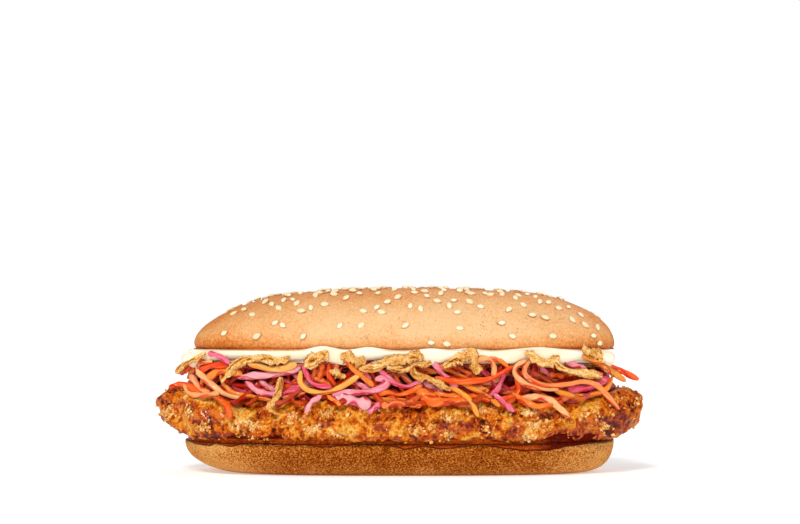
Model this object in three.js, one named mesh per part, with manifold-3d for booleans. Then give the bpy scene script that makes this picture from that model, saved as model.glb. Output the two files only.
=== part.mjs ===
// A long crispy vegetable sandwich: a seeded roll cut in two, with a breaded patty on a
// glaze, a heap of shredded vegetables, crisp fried onions and a wavy layer of mayonnaise.
// Millimetres. +X runs along the roll, -Y is its front, +Z is up, and the origin is the
// middle of the flat underside.

import * as THREE from 'three';
import { ParametricGeometry } from 'three/addons/geometries/ParametricGeometry.js';
import { mergeVertices } from 'three/addons/utils/BufferGeometryUtils.js';
import Module from 'manifold-3d';

// ---------------------------------------------------------------- driving dimensions

const GAP = 0.3;                    // between one layer and the next
const GROW = 0.35;                  // how much larger the copy is that cuts a neighbour

const ROLL = { halfLength: 85.2, halfWidth: 38, planPower: 2.7 };

const HEEL = {
  height: 13, sideHeight: 12.4,     // the rounded side ends a little below the cut face
  baseInset: 12,                    // how much smaller the flat underside is
  taper: { left: 12, right: 2 },    // and how much shorter still towards each end
};

const CROWN = {                     // its outline, a little shorter than the heel's
  halfLength: 83.9, halfWidth: 38, planPower: 2.7,
  shift: 1.6,                       // it sits this far towards +X
  cut: 48.8,                        // height of the cut face
  widest: 51,                       // height where the side stands out furthest
  top: 72.8,                        // height at the middle
  fall: { left: 8, right: 4.6 },    // how much lower the ridge would be at the very ends
  shoulder: 30,                     // how far in from its long sides it is fully high
  shoulderTo: [30, 75],             // from here to here on, that grows to the half width
  rimInset: 1.2,                    // how far the cut edge curls in
};

const SEED = { length: 3.3, width: 2.1, thickness: 1.1, sunk: 0.1, count: 60 };
const SEED_FIELD = { fromEnd: 3, fromSide: 1.5, fewest: 0.08, thickFrom: [2, 15] };

const PATTY = {
  halfLength: 95.6, halfWidth: 40.6, planPower: 2.3,
  bottom: 14.7, top: 29.6,
  endRise: 2.4, endRiseFrom: 66,    // both ends lift off the roll
  crag: 1.3, cragSize: 13, cragFine: 0.7, cragFineSize: 6.5,
  around: 72,
};

const SAUCE = {
  bottom: HEEL.height + GAP, top: PATTY.bottom - GAP,
  lip: 0.9,                         // how far the edge stands out of the heel
  drip: 1.7, dripSpacing: 23,       // how far the edge runs down, and how often
};

const HEAP = {
  halfLength: 87, halfWidth: 36.4, planPower: 2.6,
  bottom: PATTY.top + 2 * GROW, top: 41.2, around: 44,
};

const SHRED = { thickness: 1.4, top: 39.6, tuck: 1.3, lift: 0.5, liftStep: 0.5, stepLength: 6.5 };
const BACK_SHREDS = {
  count: 16, length: [16, 28], width: [2.1, 3.1], low: 31.5, high: 41,
  slope: 0.7, bow: [0.2, 0.64], straight: 0.35, hang: 3,
};
const APRON = { out: 8, from: 33, to: 27 };   // what hangs lower lies over the patty

const CRISPS = {                    // the layer of fried onions
  halfLength: 83, halfWidth: 34.5, planPower: 2.6, bottom: 41.65, top: 42.9,
  around: 44,
};
const CRISP = { thickness: 1.8, root: -3.5, lift: 4.3, stepLength: 7 };
const BACK_CRISPS = { count: 10, length: [8, 17], width: [2.5, 3.4], drop: [1, 8] };

const MAYO = {
  halfLength: 85.9, halfWidth: 38.5, planPower: 2.7,
  bottom: 43.3, top: CROWN.cut - GAP,
  edge: 44.9,                       // height of the underside at the rim
  rise: 0.6, riseSpacing: 17,       // the upper edge's waves against the roll
  lobe: 1.2, lobeSpacing: 31.5, lobeAt: 11,
  ripple: 0.4, rippleSpacing: 19,
  blob: { x: 80.5, z: 45.4, radius: 3.2, out: 0.6, around: 12, rings: 8 },
};

// The shreds that stand out on the front, each laid over the heap through these
// places, [x, z].
const FRONT_SHREDS = [
  { through: [[-76, 32], [-86, 36], [-94, 33]], width: 2.3 },
  { through: [[-73, 44], [-79, 41], [-74, 35], [-61, 30]], width: 2.4 },
  { through: [[-82, 33], [-75, 30], [-68, 32]], width: 2.3 },
  { through: [[-68, 31], [-63, 28], [-62, 23]], width: 2.4, hangs: true },
  { through: [[-68, 40], [-66, 34], [-57, 31], [-49, 30]], width: 2 },
  { through: [[-61, 39], [-50, 39], [-38, 42]], width: 2.8 },
  { through: [[-59, 36], [-54, 32], [-44, 32], [-37, 35]], width: 2.6 },
  { through: [[-38, 41], [-36, 34], [-30, 32], [-16, 39]], width: 2.3 },
  { through: [[-30, 44], [-27, 38], [-24, 34]], width: 2.2 },
  { through: [[-21, 45], [-16, 40], [-10, 35]], width: 2.3 },
  { through: [[-26, 31], [-11, 33], [-5, 36], [-10, 38]], width: 2.8 },
  { through: [[-31, 31], [-34, 28], [-36, 25]], width: 2.2, hangs: true },
  { through: [[-8, 42], [0, 35], [9, 38]], width: 2.2 },
  { through: [[-9, 32], [-1, 31], [8, 35]], width: 2.2 },
  { through: [[6, 34], [11, 31], [23, 31]], width: 3.6 },
  { through: [[12, 45], [16, 40], [22, 34]], width: 2.4 },
  { through: [[14, 38], [28, 37], [43, 43]], width: 2.5 },
  { through: [[20, 34], [27, 29], [30, 24]], width: 2.4, hangs: true },
  { through: [[29, 43], [34, 45], [36, 37]], width: 2.3 },
  { through: [[36, 31], [40, 29], [43, 26]], width: 2.3, hangs: true },
  { through: [[45, 39], [45, 33], [38, 30]], width: 2.2 },
  { through: [[49, 44], [45, 40], [56, 35], [67, 36]], width: 2.3 },
  { through: [[66, 36], [75, 33], [79, 25]], width: 2.3, hangs: true },
  { through: [[47, 31], [57, 29], [62, 23]], width: 3, hangs: true },
  { through: [[59, 33], [70, 31], [80, 36]], width: 2.6 },
  { through: [[70, 45], [80, 40], [86, 35]], width: 2.8 },
  { through: [[76, 43], [86, 40], [94, 36]], width: 2.5 },
];

// The fried onions that stand out on the front, in the same way. Each comes out of its
// layer at its first place.
const FRONT_CRISPS = [
  { through: [[-76, 42], [-82, 43], [-86, 38]], width: 2.9 },
  { through: [[-54, 42], [-61, 42], [-66, 37]], width: 2.7 },
  { through: [[-42, 42], [-48, 45], [-56, 44]], width: 3 },
  { through: [[-46, 42], [-47, 35], [-50, 26]], width: 2.6 },
  { through: [[-24, 42], [-29, 44], [-35, 41]], width: 2.6 },
  { through: [[-15, 42], [-3, 45], [9, 44]], width: 3.2 },
  { through: [[4, 42], [11, 39], [19, 34]], width: 2.7 },
  { through: [[17, 42], [22, 45], [27, 43]], width: 3.2 },
  { through: [[27, 42], [29, 40], [31, 37]], width: 3.4 },
  { through: [[52, 42], [58, 45], [64, 41], [73, 37]], width: 2.9 },
  { through: [[68, 42], [73, 45], [80, 43]], width: 3.4 },
];

const AROUND = 56;                  // points round a layer's outline
const WELD = 1e-4;                  // points nearer than this are one point
const SLIVER = 4e-3;                // and so are points this near that a join leaves
const FACE_UP = 0.5;                // how much a strip's flat side leans back
const HALF_OUTLINE = 206;           // half the length of the heap's outline, about
const GOLDEN_ANGLE = Math.PI * (3 - Math.sqrt(5));
const SPREAD = [0.7548776662, 0.5698402910];   // spacing of an even scatter over a plane

const wasm = await Module();
wasm.setup();

// ---------------------------------------------------------------- numbers and noise

const clamp = (value, low, high) => Math.min(Math.max(value, low), high);
const mix = ([low, high], part) => low + (high - low) * part;
const fraction = (value) => value - Math.floor(value);

/** A repeatable number from 0 to 1 for each whole number and seed. */
const draw = (index, seed) => fraction(Math.sin(index * 12.9898 + seed * 78.233) * 43758.5453);

/** A smooth rise from 0 to 1 between two values. */
function ramp(value, from, to) {
  const part = clamp((value - from) / (to - from), 0, 1);
  return part * part * (3 - 2 * part);
}

/** Rounded bumps from about -1 to 1: plane waves in several directions, added up. */
function bumps(point, size, seed) {
  const waves = 5;
  let sum = 0;
  for (let wave = 0; wave < waves; wave += 1) {
    const turn = seed + wave * GOLDEN_ANGLE;
    const steep = Math.cos(seed + 1.7 * wave);
    const flat = Math.sqrt(1 - steep * steep);
    const along = (point.x * Math.cos(turn) + point.y * Math.sin(turn)) * flat + point.z * steep;
    sum += Math.sin((2 * Math.PI * along * (1 + 0.13 * wave)) / size + wave * wave + seed);
  }
  return (1.6 * sum) / waves;
}

// ---------------------------------------------------------------- solids, cut and joined

/** The closed solid of a geometry whose faces meet edge to edge. */
function solidOf(geometry, weld = WELD) {
  const bare = geometry.clone();
  bare.deleteAttribute('normal');
  bare.deleteAttribute('uv');
  const welded = mergeVertices(bare, weld);
  const corners = welded.getIndex().array;
  const faces = [];
  for (let i = 0; i < corners.length; i += 3) {
    const [a, b, c] = corners.slice(i, i + 3);
    if (a !== b && b !== c && c !== a) faces.push(a, b, c);
  }
  const make = (order) => new wasm.Manifold(new wasm.Mesh({
    numProp: 3,
    vertProperties: new Float32Array(welded.getAttribute('position').array),
    triVerts: new Uint32Array(order),
  }));
  const solid = make(faces);
  return solid.volume() > 0 ? solid : make(faces.reverse());
}

/**
 * All the pieces joined, then cut back from each neighbour that they would cross. Scraps
 * that touch nothing and sealed hollows are dropped.
 */
function fuse(pieces, neighbours = []) {
  const joined = pieces.reduce((whole, piece) => whole.add(piece));
  const crossing = neighbours.filter((neighbour) => !joined.intersect(neighbour).isEmpty());
  const bodies = crossing.reduce((rest, neighbour) => rest.subtract(neighbour), joined).decompose();
  const largest = bodies.reduce((best, body) => (body.volume() > best.volume() ? body : best));
  return solidOf(geometryOf(largest), SLIVER);
}

/** The three.js geometry of a solid. */
function geometryOf(solid) {
  const { vertProperties, triVerts } = solid.getMesh();
  const geometry = new THREE.BufferGeometry();
  geometry.setAttribute('position', new THREE.BufferAttribute(new Float32Array(vertProperties), 3));
  geometry.setIndex(new THREE.BufferAttribute(new Uint32Array(triVerts), 1));
  return geometry;
}

/** A named mesh whose own origin is the middle of its underside, put back at that height. */
function layer(name, solid, base, look) {
  const geometry = geometryOf(solid).translate(0, 0, -base);
  const mesh = new THREE.Mesh(geometry, new THREE.MeshStandardMaterial(look));
  mesh.name = name;
  mesh.position.z = base;
  return mesh;
}

// ---------------------------------------------------------------- the roll's plan

/** A plan's outline: a superellipse that starts at +X and turns towards +Y. */
class Outline extends THREE.Curve {
  constructor(plan) {
    super();
    this.plan = plan;
  }

  getPoint(part, target = new THREE.Vector3()) {
    const { halfLength, halfWidth, planPower } = this.plan;
    const turn = 2 * Math.PI * part;
    const pull = (value) => Math.sign(value) * Math.abs(value) ** (2 / planPower);
    return target.set(halfLength * pull(Math.cos(turn)), halfWidth * pull(Math.sin(turn)), 0);
  }
}

/**
 * A layer as rings from the middle of its underside to the middle of its top. A ring is
 * the plan drawn in by its inset, so an inset of the half width closes it on the spine.
 * Each ring gives inset and height; place may then move a point.
 */
function loaf(plan, rings, place = (point) => point, around = AROUND) {
  const outline = new Outline(plan).getSpacedPoints(around);
  const surface = (u, v, target) => {
    const ring = rings[Math.round(v * (rings.length - 1))];
    const edge = outline[Math.round(u * around)];
    const inset = Math.min(ring.inset, plan.halfWidth);
    target.set(
      edge.x * (1 - inset / plan.halfLength),
      edge.y * (1 - inset / plan.halfWidth),
      ring.height,
    );
    place(target, ring, edge);
  };
  return solidOf(new ParametricGeometry(surface, around, rings.length - 1));
}

/** The outer edge of a plan in front of x, as a distance from the middle line. */
function reach(plan, x) {
  const part = Math.abs(clamp(x / plan.halfLength, -1, 1)) ** plan.planPower;
  return plan.halfWidth * (1 - part) ** (1 / plan.planPower);
}

/** How far a point of the plan lies inside its outline, found by halving. */
function insetAt(plan, x, y) {
  const outside = (inset) => {
    const along = Math.abs(x) / (plan.halfLength - inset);
    const across = Math.abs(y) / (plan.halfWidth - inset);
    return along ** plan.planPower + across ** plan.planPower > 1;
  };
  let low = 0;
  let high = plan.halfWidth - WELD;
  for (let step = 0; step < 24; step += 1) {
    const middle = (low + high) / 2;
    if (outside(middle)) high = middle;
    else low = middle;
  }
  return low;
}

/** The level direction that points out of a layer, away from its spine. */
function outwardAt(plan, point) {
  const spine = plan.halfLength - plan.halfWidth;
  return new THREE.Vector3(point.x - clamp(point.x, -spine, spine), point.y, 0).normalize();
}

// ---------------------------------------------------------------- the roll

/** A flat underside and a rounded side, like a boat whose left end is the longer bow. */
function heelSolid() {
  const { height, sideHeight, baseInset, taper } = HEEL;
  const rings = [
    { inset: ROLL.halfWidth, height: 0, inward: 1 },
    { inset: baseInset, height: 0, inward: 1 },
  ];
  for (const turn of [25, 45, 66, 90]) {
    const angle = THREE.MathUtils.degToRad(turn);
    const inward = 1 - Math.sin(angle);
    rings.push({ inset: baseInset * inward, height: sideHeight * (1 - Math.cos(angle)), inward });
  }
  rings.push({ inset: 0.4, height, inward: 0 });
  rings.push({ inset: ROLL.halfWidth, height, inward: 0 });
  return loaf(ROLL, rings, (point, ring) => {
    const shorter = ring.inward * (point.x < 0 ? taper.left : taper.right);
    point.x *= 1 - shorter / ROLL.halfLength;
  });
}

/** The crust's height over a place whose distance from the rim is known. */
function crustHeight(x, inset) {
  const along = x - CROWN.shift;
  const fall = along < 0 ? CROWN.fall.left : CROWN.fall.right;
  const ridge = CROWN.top - fall * (along / CROWN.halfLength) ** 2;
  const shoulder = mix([CROWN.shoulder, CROWN.halfWidth], ramp(Math.abs(along), ...CROWN.shoulderTo));
  const across = 1 - clamp(inset / shoulder, 0, 1);
  return CROWN.widest + (ridge - CROWN.widest) * Math.sqrt(1 - across * across);
}

function crownSolid() {
  const { cut, widest, rimInset, halfWidth, shift } = CROWN;
  const rings = [
    { inset: halfWidth, height: cut },
    { inset: rimInset, height: cut },
    { inset: 0.45 * rimInset, height: cut + 0.2 * (widest - cut) },
    { inset: 0.1 * rimInset, height: cut + 0.6 * (widest - cut) },
    { inset: 0, height: widest },
  ];
  for (const turn of [16, 32, 48, 66, 90]) {
    const angle = THREE.MathUtils.degToRad(turn);
    rings.push({ inset: halfWidth * (1 - Math.cos(angle)), height: widest, domed: true });
  }
  return loaf(CROWN, rings, (point, ring) => {
    point.x += shift;
    if (ring.domed) point.z = crustHeight(point.x, ring.inset);
  });
}

/** One sesame seed lying on the crust at x, y, turned by an angle. */
function seedSolid(x, y, turn) {
  const crust = (px, py) => crustHeight(px, insetAt(CROWN, px - CROWN.shift, py));
  const height = crust(x, y);
  const step = 0.5;
  const up = new THREE.Vector3(
    crust(x - step, y) - crust(x + step, y),
    crust(x, y - step) - crust(x, y + step),
    2 * step,
  ).normalize();
  const lie = new THREE.Quaternion().setFromUnitVectors(new THREE.Vector3(0, 0, 1), up);
  lie.multiply(new THREE.Quaternion().setFromAxisAngle(new THREE.Vector3(0, 0, 1), turn));
  const size = new THREE.Vector3(SEED.length, SEED.width, SEED.thickness).divideScalar(2);
  const place = new THREE.Vector3(x, y, height).addScaledVector(up, SEED.sunk);
  const grain = new THREE.SphereGeometry(1, 5, 3).rotateX(Math.PI / 2);
  return solidOf(grain.applyMatrix4(new THREE.Matrix4().compose(place, lie, size)));
}

/** Seeds lie thick along the ridge and thin out down the sides. */
function seedSolids() {
  const seeds = [];
  const { fromEnd, fromSide, fewest, thickFrom } = SEED_FIELD;
  for (let i = 1; seeds.length < SEED.count; i += 1) {
    const x = (2 * fraction(i * SPREAD[0]) - 1) * (CROWN.halfLength - fromEnd);
    const y = (2 * fraction(i * SPREAD[1]) - 1) * (CROWN.halfWidth - fromSide);
    const wanted = mix([fewest, 1], ramp(insetAt(CROWN, x, y), ...thickFrom));
    const inside = Math.abs(y) < reach(CROWN, x) - fromSide;
    if (inside && draw(i, 3) < wanted) {
      seeds.push(seedSolid(x + CROWN.shift, y, 2 * Math.PI * draw(i, 5)));
    }
  }
  return seeds;
}

// ---------------------------------------------------------------- patty and sauce

/** How much the patty, and what lies on it, is lifted at x. */
const endRise = (x) => PATTY.endRise * ramp(Math.abs(x), PATTY.endRiseFrom, PATTY.halfLength);

function pattySolid(grow = 0) {
  const { bottom, top } = PATTY;
  const plan = {
    ...PATTY, halfLength: PATTY.halfLength + grow, halfWidth: PATTY.halfWidth + grow,
  };
  const thick = top - bottom;
  const rings = [
    { inset: plan.halfWidth, height: bottom - grow, crag: 0 },
    { inset: 7, height: bottom - grow, crag: 0 },
    { inset: 3, height: bottom + 0.08 * thick, crag: 0.5 },
    { inset: 0.6, height: bottom + 0.3 * thick, crag: 1 },
    { inset: 0, height: bottom + 0.54 * thick, crag: 1 },
    { inset: 1.4, height: bottom + 0.77 * thick, crag: 1 },
    { inset: 4.4, height: bottom + 0.95 * thick, crag: 0.6 },
    { inset: 9, height: top + grow, crag: 0 },
    { inset: plan.halfWidth, height: top + grow, crag: 0 },
  ];
  return loaf(plan, rings, (point, ring) => {
    const crag = PATTY.crag * bumps(point, PATTY.cragSize, 2)
      + PATTY.cragFine * bumps(point, PATTY.cragFineSize, 7);
    point.addScaledVector(outwardAt(plan, point), ring.crag * crag);
    point.z += endRise(point.x) + 0.4 * ring.crag * bumps(point, PATTY.cragFineSize, 4);
  }, PATTY.around);
}

/** A thin glaze whose lip stands out over the heel's edge, and runs down it in places. */
function sauceSolid() {
  const { bottom, top, lip, drip, dripSpacing } = SAUCE;
  const rings = [
    { inset: ROLL.halfWidth, height: bottom },
    { inset: -GROW, height: bottom },
    { inset: -GROW, height: bottom - 0.5, runs: 1 },
    { inset: -lip, height: bottom - 0.2, runs: 0.9 },
    { inset: -lip, height: top - 0.2 },
    { inset: 0, height: top },
    { inset: ROLL.halfWidth, height: top },
  ];
  return loaf(ROLL, rings, (point, ring) => {
    const wave = 0.5 + 0.5 * bumps(new THREE.Vector3(point.x, point.y, 0), dripSpacing, 1);
    point.z -= drip * (ring.runs ?? 0) * clamp(wave, 0, 1);
  });
}

// ---------------------------------------------------------------- strips over the heap

/** A route over the heap that keeps a strip's flat side turned outwards and a little up. */
class StripRoute extends THREE.CatmullRomCurve3 {
  computeFrenetFrames(steps) {
    const frames = { tangents: [], normals: [], binormals: [] };
    for (let i = 0; i <= steps; i += 1) {
      const tangent = this.getTangentAt(i / steps);
      const facing = outwardAt(HEAP, this.getPointAt(i / steps)).setZ(FACE_UP);
      const across = new THREE.Vector3().crossVectors(facing, tangent).normalize();
      frames.tangents.push(tangent);
      frames.normals.push(across);
      frames.binormals.push(new THREE.Vector3().crossVectors(tangent, across));
    }
    return frames;
  }
}

/** A flat strip with a rectangular section along points, bent about every stepLength. */
function stripSolid(points, width, thickness, stepLength) {
  const section = new THREE.Shape();
  section.moveTo(-width / 2, -thickness / 2);
  section.lineTo(width / 2, -thickness / 2);
  section.lineTo(width / 2, thickness / 2);
  section.lineTo(-width / 2, thickness / 2);
  const extrudePath = new StripRoute(points, false, 'centripetal');
  const steps = Math.max(2, Math.round(extrudePath.getLength() / stepLength));
  return solidOf(new THREE.ExtrudeGeometry(section, { steps, extrudePath }));
}

/** A point over the heap's edge: lifted off its face, or further, off the patty below. */
function drape(edge, lift) {
  const apron = APRON.out * ramp(-edge.z, -APRON.from, -APRON.to);
  edge.z += endRise(edge.x);
  return edge.addScaledVector(outwardAt(HEAP, edge), lift > 0 ? Math.max(lift, apron) : lift);
}

/** The point of the front of the heap at x and z. */
const frontPoint = ([x, z], lift) => drape(new THREE.Vector3(x, -reach(HEAP, x), z), lift);

/** The points of a shred on the front: its ends go into the heap, or the last hangs free. */
function frontRoute({ through, hangs }, lift) {
  const last = through.length - 1;
  return through.map(([x, z], i) => {
    const tucked = i === 0 || (i === last && !hangs);
    return tucked ? frontPoint([x, Math.min(z, SHRED.top)], -SHRED.tuck) : frontPoint([x, z], lift);
  });
}

/** A point of the back half of the outline, or of its ends; part runs from 0 to 1. */
function backPoint(part, z, lift) {
  const edge = new Outline(HEAP).getPointAt(fraction(1 + 0.5 * part));
  return drape(edge.setZ(z), lift);
}

/** A bowed strip laid by rule round the back and the ends of the heap. */
function backRoute(index, lift) {
  const { length, low, high, slope, bow, straight, hang } = BACK_SHREDS;
  const middle = fraction((index + 0.5) * SPREAD[0]);
  const height = mix([low, high], fraction(index * SPREAD[1] + 0.3));
  const run = 0.5 * mix(length, draw(index, 11));
  const heading = mix([-slope, slope], draw(index, 12));
  const sag = run * mix(bow, draw(index, 13));
  return [-1, -straight, straight, 1].map((along) => {
    const inner = Math.abs(along) < 1;
    const part = middle + (along * run * Math.cos(heading)) / HALF_OUTLINE;
    const z = height + along * run * Math.sin(heading) - (inner ? sag : 0);
    return backPoint(part, clamp(z, low - hang, SHRED.top), inner ? lift : -SHRED.tuck);
  });
}

/** A fried onion on the front: it comes out of its layer and lies over the heap. */
function frontCrispRoute({ through }, root) {
  const laid = through.map((place) => frontPoint(place, CRISP.lift));
  return [frontPoint(through[0], root), ...laid];
}

/** A fried onion laid by rule round the back and the ends of the heap. */
function backCrispRoute(index, root) {
  const slab = mix([CRISPS.bottom, CRISPS.top], 0.5);
  const start = fraction((index + 0.5) * SPREAD[0]);
  const way = draw(index, 21) < 0.5 ? -1 : 1;
  const run = (way * mix(BACK_CRISPS.length, draw(index, 22))) / HALF_OUTLINE;
  const drop = mix(BACK_CRISPS.drop, draw(index, 23));
  return [
    backPoint(start, slab, root),
    backPoint(start + 0.3 * run, slab, CRISP.lift),
    backPoint(start + run, slab - drop, CRISP.lift),
  ];
}

/** The lifts of neighbouring strips differ, so that they pass over each other. */
const liftOf = (index) => SHRED.lift + SHRED.liftStep * (index % 4);

function shredSolids() {
  const shred = (points, width) => stripSolid(points, width, SHRED.thickness, SHRED.stepLength);
  const front = FRONT_SHREDS.map((laid, i) => shred(frontRoute(laid, liftOf(i)), laid.width));
  const back = Array.from({ length: BACK_SHREDS.count }, (_, i) => (
    shred(backRoute(i, liftOf(i)), mix(BACK_SHREDS.width, draw(i, 15)))));
  return [...front, ...back];
}

function crispSolids(grow = 0) {
  const { thickness, stepLength } = CRISP;
  const root = CRISP.root - grow;
  const piece = (points, width) => (
    stripSolid(points, width + 2 * grow, thickness + 2 * grow, stepLength));
  const front = FRONT_CRISPS.map((laid) => piece(frontCrispRoute(laid, root), laid.width));
  const back = Array.from({ length: BACK_CRISPS.count }, (_, i) => (
    piece(backCrispRoute(i, root), mix(BACK_CRISPS.width, draw(i, 25)))));
  return [...front, ...back];
}

// ---------------------------------------------------------------- the soft layers

function heapCore() {
  const { bottom, top, halfWidth } = HEAP;
  const rings = [
    { inset: halfWidth, height: bottom },
    { inset: 3, height: bottom },
    { inset: 0, height: bottom + 3 },
    { inset: 0, height: top - 4 },
    { inset: 2.5, height: top },
    { inset: halfWidth, height: top },
  ];
  return loaf(HEAP, rings, (point, ring) => {
    if (ring.height < top) point.z += endRise(point.x);
  }, HEAP.around);
}

function crispCore(grow = 0) {
  const { bottom, top, halfWidth } = CRISPS;
  const rings = [
    { inset: halfWidth, height: bottom - grow },
    { inset: 1 - grow, height: bottom - grow },
    { inset: -grow, height: (bottom + top) / 2 },
    { inset: 1 - grow, height: top + grow },
    { inset: halfWidth, height: top + grow },
  ];
  return loaf(CRISPS, rings, undefined, CRISPS.around);
}

/**
 * A squeezed layer whose bead sags in lobes below, and above rises and falls against the
 * outside of the crown's rim.
 */
function mayoSolid(grow = 0) {
  const { bottom, top, edge, halfWidth, blob } = MAYO;
  const rings = [
    { inset: halfWidth, height: bottom - grow },
    { inset: 5, height: bottom - grow },
    { inset: 0.8 - grow, height: edge - grow, sags: 1 },
    { inset: -0.8 - grow, height: mix([edge, top], 0.5), sags: 0.3 },
    { inset: -0.9 - grow, height: top + 0.4, rises: 0.7 },
    { inset: -0.3, height: top + 0.7, rises: 0.6 },
    { inset: 2.2, height: top },
    { inset: halfWidth, height: top },
  ];
  const bead = loaf(MAYO, rings, (point, ring) => {
    const level = new THREE.Vector3(point.x, point.y, 0);
    const lobes = 0.5 + 0.5 * Math.cos((2 * Math.PI * (point.x - MAYO.lobeAt)) / MAYO.lobeSpacing);
    const sag = MAYO.lobe * lobes + MAYO.ripple * bumps(level, MAYO.rippleSpacing, 3);
    point.z -= (ring.sags ?? 0) * sag;
    point.z += (ring.rises ?? 0) * MAYO.rise * bumps(level, MAYO.riseSpacing, 6);
  });
  const drop = new THREE.SphereGeometry(blob.radius + grow, blob.around, blob.rings)
    .translate(blob.x, -reach(MAYO, blob.x) - blob.out, blob.z);
  return bead.add(solidOf(drop));
}

// ---------------------------------------------------------------- fitted together

const above = mayoSolid(GROW);
const crisps = fuse([crispCore(), ...crispSolids()], [above]);
const slaw = fuse(
  [heapCore(), ...shredSolids()],
  [above, pattySolid(GROW), crispCore(GROW), ...crispSolids(2 * GROW)],
);

const sandwich = new THREE.Group();
const lowerHalf = new THREE.Group();
lowerHalf.add(
  layer('heel', heelSolid(), 0, { color: 0xb87a3c, roughness: 0.85, metalness: 0 }),
  layer('sauce', sauceSolid(), SAUCE.bottom, { color: 0x641608, roughness: 0.15, metalness: 0 }),
);
const filling = new THREE.Group();
filling.add(
  layer('patty', pattySolid(), PATTY.bottom, { color: 0xd0741e, roughness: 0.55, metalness: 0 }),
  layer('slaw', slaw, HEAP.bottom, { color: 0xe8763c, roughness: 0.35, metalness: 0 }),
  layer('fried_onions', crisps, CRISPS.bottom, { color: 0xe8b868, roughness: 0.7, metalness: 0 }),
  layer('mayo', mayoSolid(), MAYO.bottom, { color: 0xfff6e0, roughness: 0.3, metalness: 0 }),
);
const upperHalf = new THREE.Group();
upperHalf.add(layer(
  'crown', fuse([crownSolid(), ...seedSolids()]), CROWN.cut,
  { color: 0xeab070, roughness: 0.6, metalness: 0 },
));
sandwich.add(lowerHalf, filling, upperHalf);

export default sandwich;
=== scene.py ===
"""Looks of a long crispy vegetable sandwich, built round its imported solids.

Lengths in this file are millimetres until a mesh is made, which turns them into metres.
+X runs along the roll, -Y is the front that the camera sees, and +Z is up.
"""

import logging
import math
from dataclasses import dataclass, field
from enum import Enum

import bpy
import numpy as np
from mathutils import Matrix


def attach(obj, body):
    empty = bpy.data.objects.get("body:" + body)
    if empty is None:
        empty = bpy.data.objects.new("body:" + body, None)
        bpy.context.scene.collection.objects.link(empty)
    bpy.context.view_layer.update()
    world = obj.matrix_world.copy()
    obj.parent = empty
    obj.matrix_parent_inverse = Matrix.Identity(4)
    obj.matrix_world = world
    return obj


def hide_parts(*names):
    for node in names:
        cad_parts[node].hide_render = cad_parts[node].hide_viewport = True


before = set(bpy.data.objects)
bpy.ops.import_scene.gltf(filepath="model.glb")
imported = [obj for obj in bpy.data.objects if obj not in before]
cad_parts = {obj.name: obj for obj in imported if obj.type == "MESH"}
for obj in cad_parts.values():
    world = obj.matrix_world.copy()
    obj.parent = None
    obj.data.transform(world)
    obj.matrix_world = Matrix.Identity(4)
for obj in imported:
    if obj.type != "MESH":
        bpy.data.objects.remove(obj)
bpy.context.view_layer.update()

LOG = logging.getLogger("sandwich")
Array = np.ndarray
Piece = bpy.types.Object
Socket = bpy.types.NodeSocket
Inputs = dict[str, Socket]
Pair = tuple[float, float]

MM = 0.001
WELD = 1e-4
LIGHT_LEVEL = 1.3
GOLDEN_ANGLE = math.pi * (3.0 - math.sqrt(5.0))
SPREAD = (0.7548776662, 0.5698402910)
WHITE = (1.0, 1.0, 1.0, 1.0)


# ---- numbers and noise


def ramp(value: Array | float, start: float, end: float) -> Array:
    """A smooth rise from 0 at start to 1 at end, which may lie below start: 3t^2 - 2t^3 of
    the clamped part t."""
    part = np.clip((np.asarray(value, dtype=float) - start) / (end - start), 0.0, 1.0)
    return part * part * (3.0 - 2.0 * part)


def draw(index: Array | float, seed: float) -> Array:
    """A repeatable number from 0 to 1 for each index: the fraction of a large sine."""
    value = np.sin(np.asarray(index, dtype=float) * 12.9898 + seed * 78.233) * 43758.5453
    return value - np.floor(value)


def bumps(points: Array, size: float, seed: float) -> Array:
    """Rounded bumps from about -1 to 1: five plane waves in turned directions, added up. The
    longest wave is size long, and the seed picks directions and phases."""
    total = np.zeros(points.shape[:-1])
    for wave in range(5):
        turn = seed + wave * GOLDEN_ANGLE
        steep = math.cos(seed + 1.7 * wave)
        flat = math.sqrt(1.0 - steep * steep)
        level = points[..., 0] * math.cos(turn) + points[..., 1] * math.sin(turn)
        along = level * flat + points[..., 2] * steep
        total += np.sin(2.0 * math.pi * along * (1.0 + 0.13 * wave) / size + wave * wave + seed)
    return 1.6 * total / 5.0


def columns(*parts: Array | float) -> Array:
    """Numbers side by side: several arrays, spread to one shape, along a new last axis."""
    return np.stack(np.broadcast_arrays(*parts), axis=-1)


def bells(x: Array, humps: tuple) -> Array:
    """The sum of bell curves along x, each with its place, height and width."""
    return sum(high * np.exp(-(((x - at) / wide) ** 2)) for at, high, wide in humps)


def held(value: Array | float) -> Array:
    """A value kept between 0 and 1."""
    return np.clip(value, 0.0, 1.0)


def boxed(value: Array, power: float) -> Array:
    """A sine or cosine bent for a superellipse: its size to the power 2 / power, its sign kept."""
    return np.sign(value) * np.abs(value) ** (2.0 / power)


def unit(vectors: Array) -> Array:
    """Vectors drawn out to length 1."""
    return vectors / np.maximum(np.linalg.norm(vectors, axis=-1, keepdims=True), 1e-9)


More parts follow.
